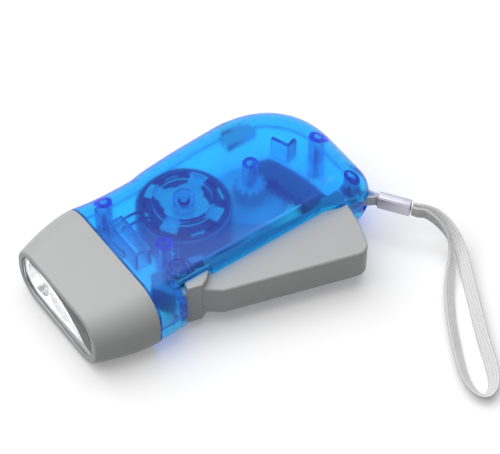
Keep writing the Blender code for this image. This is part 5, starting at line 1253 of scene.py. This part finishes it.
def makeScrews():
    pitch, low, high = screw["pitch"], screw["threadLow"], screw["threadHigh"]
    profile = [(0, screw["end"]), (screw["endRadius"], screw["end"])]
    for i in range(int((high - low) / pitch)):
        z = high - i * pitch
        profile += [(screw["crest"], z - pitch * 0.2), (screw["root"], z - pitch * 0.5),
                    (screw["root"], z - pitch * 0.8)]
    one = lathe("screw", profile + list(screw["head"]), 28)
    reach, half = screw["crossReach"], screw["crossWidth"] / 2
    cross = [block("cross", (-reach, -half, -1), (reach, half, screw["crossTop"]), turn)
             for turn in (0.0, math.pi / 2)]
    one = combine(one, cross, "DIFFERENCE")
    screws = repeated("caseScrews", one, [(x, y, 0) for x, y, _ in screwPosts], machinedSteel)
    finishPiece(screws, "caseScrews", "housing", [machinedSteel],
                ["screw_front_far", "screw_front_near", "screw_tail_far", "screw_tail_near"])


def makeSlider():
    # A cap with half-round grip ridges in a row.
    low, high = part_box("switch_slider")
    low, high = low / mm, high / mm
    middle = (low + high) / 2
    face = high.y - ridges["radius"]
    cap = easedPlate("switchSlider", corners(low, (high.x, face)), low.z, high.z, ridges["edge"], 3)
    tree, given = newGroup("ridgeTree", {
        "Count": "Int", "Spacing": "Float", "Radius": "Float", "Length": "Float", "Place": "Vector"})
    step = addNode(tree, "ShaderNodeCombineXYZ", {"X": given["Spacing"]})
    line = addNode(tree, "GeometryNodeMeshLine", {
        "Count": given["Count"], "Start Location": given["Place"], "Offset": step.outputs[0]})
    ridge = addNode(tree, "GeometryNodeMeshCylinder", {
        "Vertices": 14, "Radius": given["Radius"], "Depth": given["Length"]})
    spread = addNode(tree, "GeometryNodeInstanceOnPoints", {
        "Points": line.outputs[0], "Instance": ridge.outputs[0]})
    endGroup(tree, [given["Geometry"], spread.outputs[0]], blackNylon)
    cap = runGroup(cap, tree, {
        "Count": ridges["count"], "Spacing": ridges["spacing"], "Radius": ridges["radius"],
        "Length": high.z - low.z - ridges["margin"] * 2,
        "Place": (middle.x - ridges["spacing"] * (ridges["count"] - 1) / 2, face, middle.z)})
    finishPiece(cap, "switchSlider", "slider", [blackNylon], ["switch_slider"])


def makeWires():
    radius, over, wellX = wires["radius"], wires["over"], (ribs["wellLow"][0] + ribs["wellHigh"][0]) / 2
    coilX, rim = rotor.x - bobbinRadius + wires["inset"], rotor.x - dynamo["cupRadius"]
    board = boardX + wires["board"] + gap + radius
    postGap = (screwPosts[0][1] - screwPosts[0][2] + ribs["wellHigh"][1]) / 2  # between post and well
    behindCell = boardX + wires["board"] + gap * 2 + wires["cell"] + radius * 2
    pastCell = wires["cellY"] + wires["cellRadius"] + radius * 3
    routes = (
        ("coilWireA", redPvc, "red_wire", "coil_wire_a", [
            (coilX, rotor.y + 2.5, over), (rim, rotor.y + 5.0, over - 0.3), (wellX, postGap + 0.8, midZ + 2.5),
            (behindCell, pastCell, midZ + 2.5), (board, pastCell, midZ)]),
        ("coilWireB", blackNylon, "black_plastic", "coil_wire_b", [
            (coilX, rotor.y, over), (rim, rotor.y + 2.5, over - 1.1), (wellX, postGap - 0.8, midZ),
            (behindCell, wires["cellY"], midZ - 0.4), (behindCell, 0, midZ), (board, -1.25, midZ)]))
    for name, material, slotName, node, route in routes:
        wire = tube(name, smoothPath(route, 10), radius)
        finishPiece(wire, name, "housing", [material], [node])


makeScrews()
makeSlider()
makeWires()


# The CAD's own pieces get their finishes

def dressCadNodes():
    finishes = {
        whiteNylon: ("rack_pinion", "first_gear", "second_gear", "rotor_pinion"), greenBoard: ("lamp_board",),
        blackNylon: ("rectifier",), platedSteel: ("charge_cell", "switch_body")}
    for material, names in finishes.items():
        for mesh in (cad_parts[name].data for name in names):
            if not mesh.materials:
                mesh.materials.append(material)
            for i in range(len(mesh.materials)):
                mesh.materials[i] = material


dressCadNodes()
print("fittings made")


# Floor, world and lamp

studio = dict(
    floorSize=3000.0, floorColour="#f9f9f9", bounceColour="#747474", floorGlow=0.24, throughGlow=0.95,
    mirrorShare=0.3, ambient=0.22, softBox=12.8, softBoxSize=1.5, softBoxPlace=(-0.2, 0.25, 1.05))


def seenDirectly(tree):
    # 1 where a ray from the camera has met no matt surface yet.
    rays = addNode(tree, "ShaderNodeLightPath")
    first = addNode(tree, "ShaderNodeMath", {
        0: rays.outputs["Is Camera Ray"], 1: rays.outputs["Is Glossy Ray"]}, operation="MAXIMUM")
    seen = addNode(tree, "ShaderNodeMath", {
        0: first.outputs[0], 1: rays.outputs["Is Transmission Ray"]}, operation="MAXIMUM")
    direct = addNode(tree, "ShaderNodeMath", {0: rays.outputs["Diffuse Depth"], 1: 0.5}, operation="LESS_THAN")
    both = addNode(tree, "ShaderNodeMath", {0: seen.outputs[0], 1: direct.outputs[0]}, operation="MULTIPLY")
    return both.outputs[0]


def makeFloor():
    # White paper that stays light in the picture and grey in what it sends back to the torch.
    half = studio["floorSize"] / 2
    bm = bmesh.new()
    bm.faces.new([bm.verts.new((x * mm, y * mm, 0)) for x, y in corners((-half, -half), (half, half))])
    floor = looseObject("floor", bm)
    material, tree = newMaterial("paperFloor")
    rays = addNode(tree, "ShaderNodeLightPath")
    light, bounce = linear(studio["floorColour"]), linear(studio["bounceColour"])
    tone = addNode(tree, "ShaderNodeMix", {
        "Factor": rays.outputs["Is Diffuse Ray"], 6: light, 7: bounce}, data_type="RGBA")
    paper = addNode(tree, "ShaderNodeBsdfDiffuse", {"Color": tone.outputs[2]})
    mirrored = addNode(tree, "ShaderNodeMath", {
        0: rays.outputs["Is Glossy Ray"], 1: studio["mirrorShare"]}, operation="MULTIPLY")
    through = addNode(tree, "ShaderNodeMath", {
        0: rays.outputs["Is Transmission Ray"], 1: mirrored.outputs[0]}, operation="MAXIMUM")
    level = addNode(tree, "ShaderNodeMapRange", {
        "Value": through.outputs[0], "To Min": studio["floorGlow"], "To Max": studio["throughGlow"]})
    seen = addNode(tree, "ShaderNodeMath", {0: seenDirectly(tree), 1: level.outputs[0]}, operation="MULTIPLY")
    glow = addNode(tree, "ShaderNodeEmission", {"Color": (1, 1, 1, 1), "Strength": seen.outputs[0]})
    showSurface(tree, addNode(tree, "ShaderNodeAddShader", {0: paper.outputs[0], 1: glow.outputs[0]}))
    floor.data.materials.append(material)


def makeLight():
    world = bpy.data.worlds.new("softStudio")
    bpy.context.scene.world = world
    world.use_nodes = True
    tree = world.node_tree
    tree.nodes.clear()
    strength = addNode(tree, "ShaderNodeMapRange", {
        "Value": seenDirectly(tree), "To Min": studio["ambient"], "To Max": 1.0})
    sky = addNode(tree, "ShaderNodeBackground", {"Color": (1, 1, 1, 1), "Strength": strength.outputs[0]})
    addNode(tree, "ShaderNodeOutputWorld", {"Surface": sky.outputs[0]})

    data = bpy.data.lights.new("softBox", "AREA")
    data.shape, data.size, data.energy = "SQUARE", studio["softBoxSize"], studio["softBox"]
    box = newObject("softBox", data)
    box.location = studio["softBoxPlace"]
    box.rotation_euler = Vector(box.location).to_track_quat("Z", "Y").to_euler()
    box.visible_transmission = False  # its light comes through the blue by the shadow rays alone


makeFloor()
makeLight()
bpy.context.scene.view_settings.view_transform = "Standard"
print("studio made")
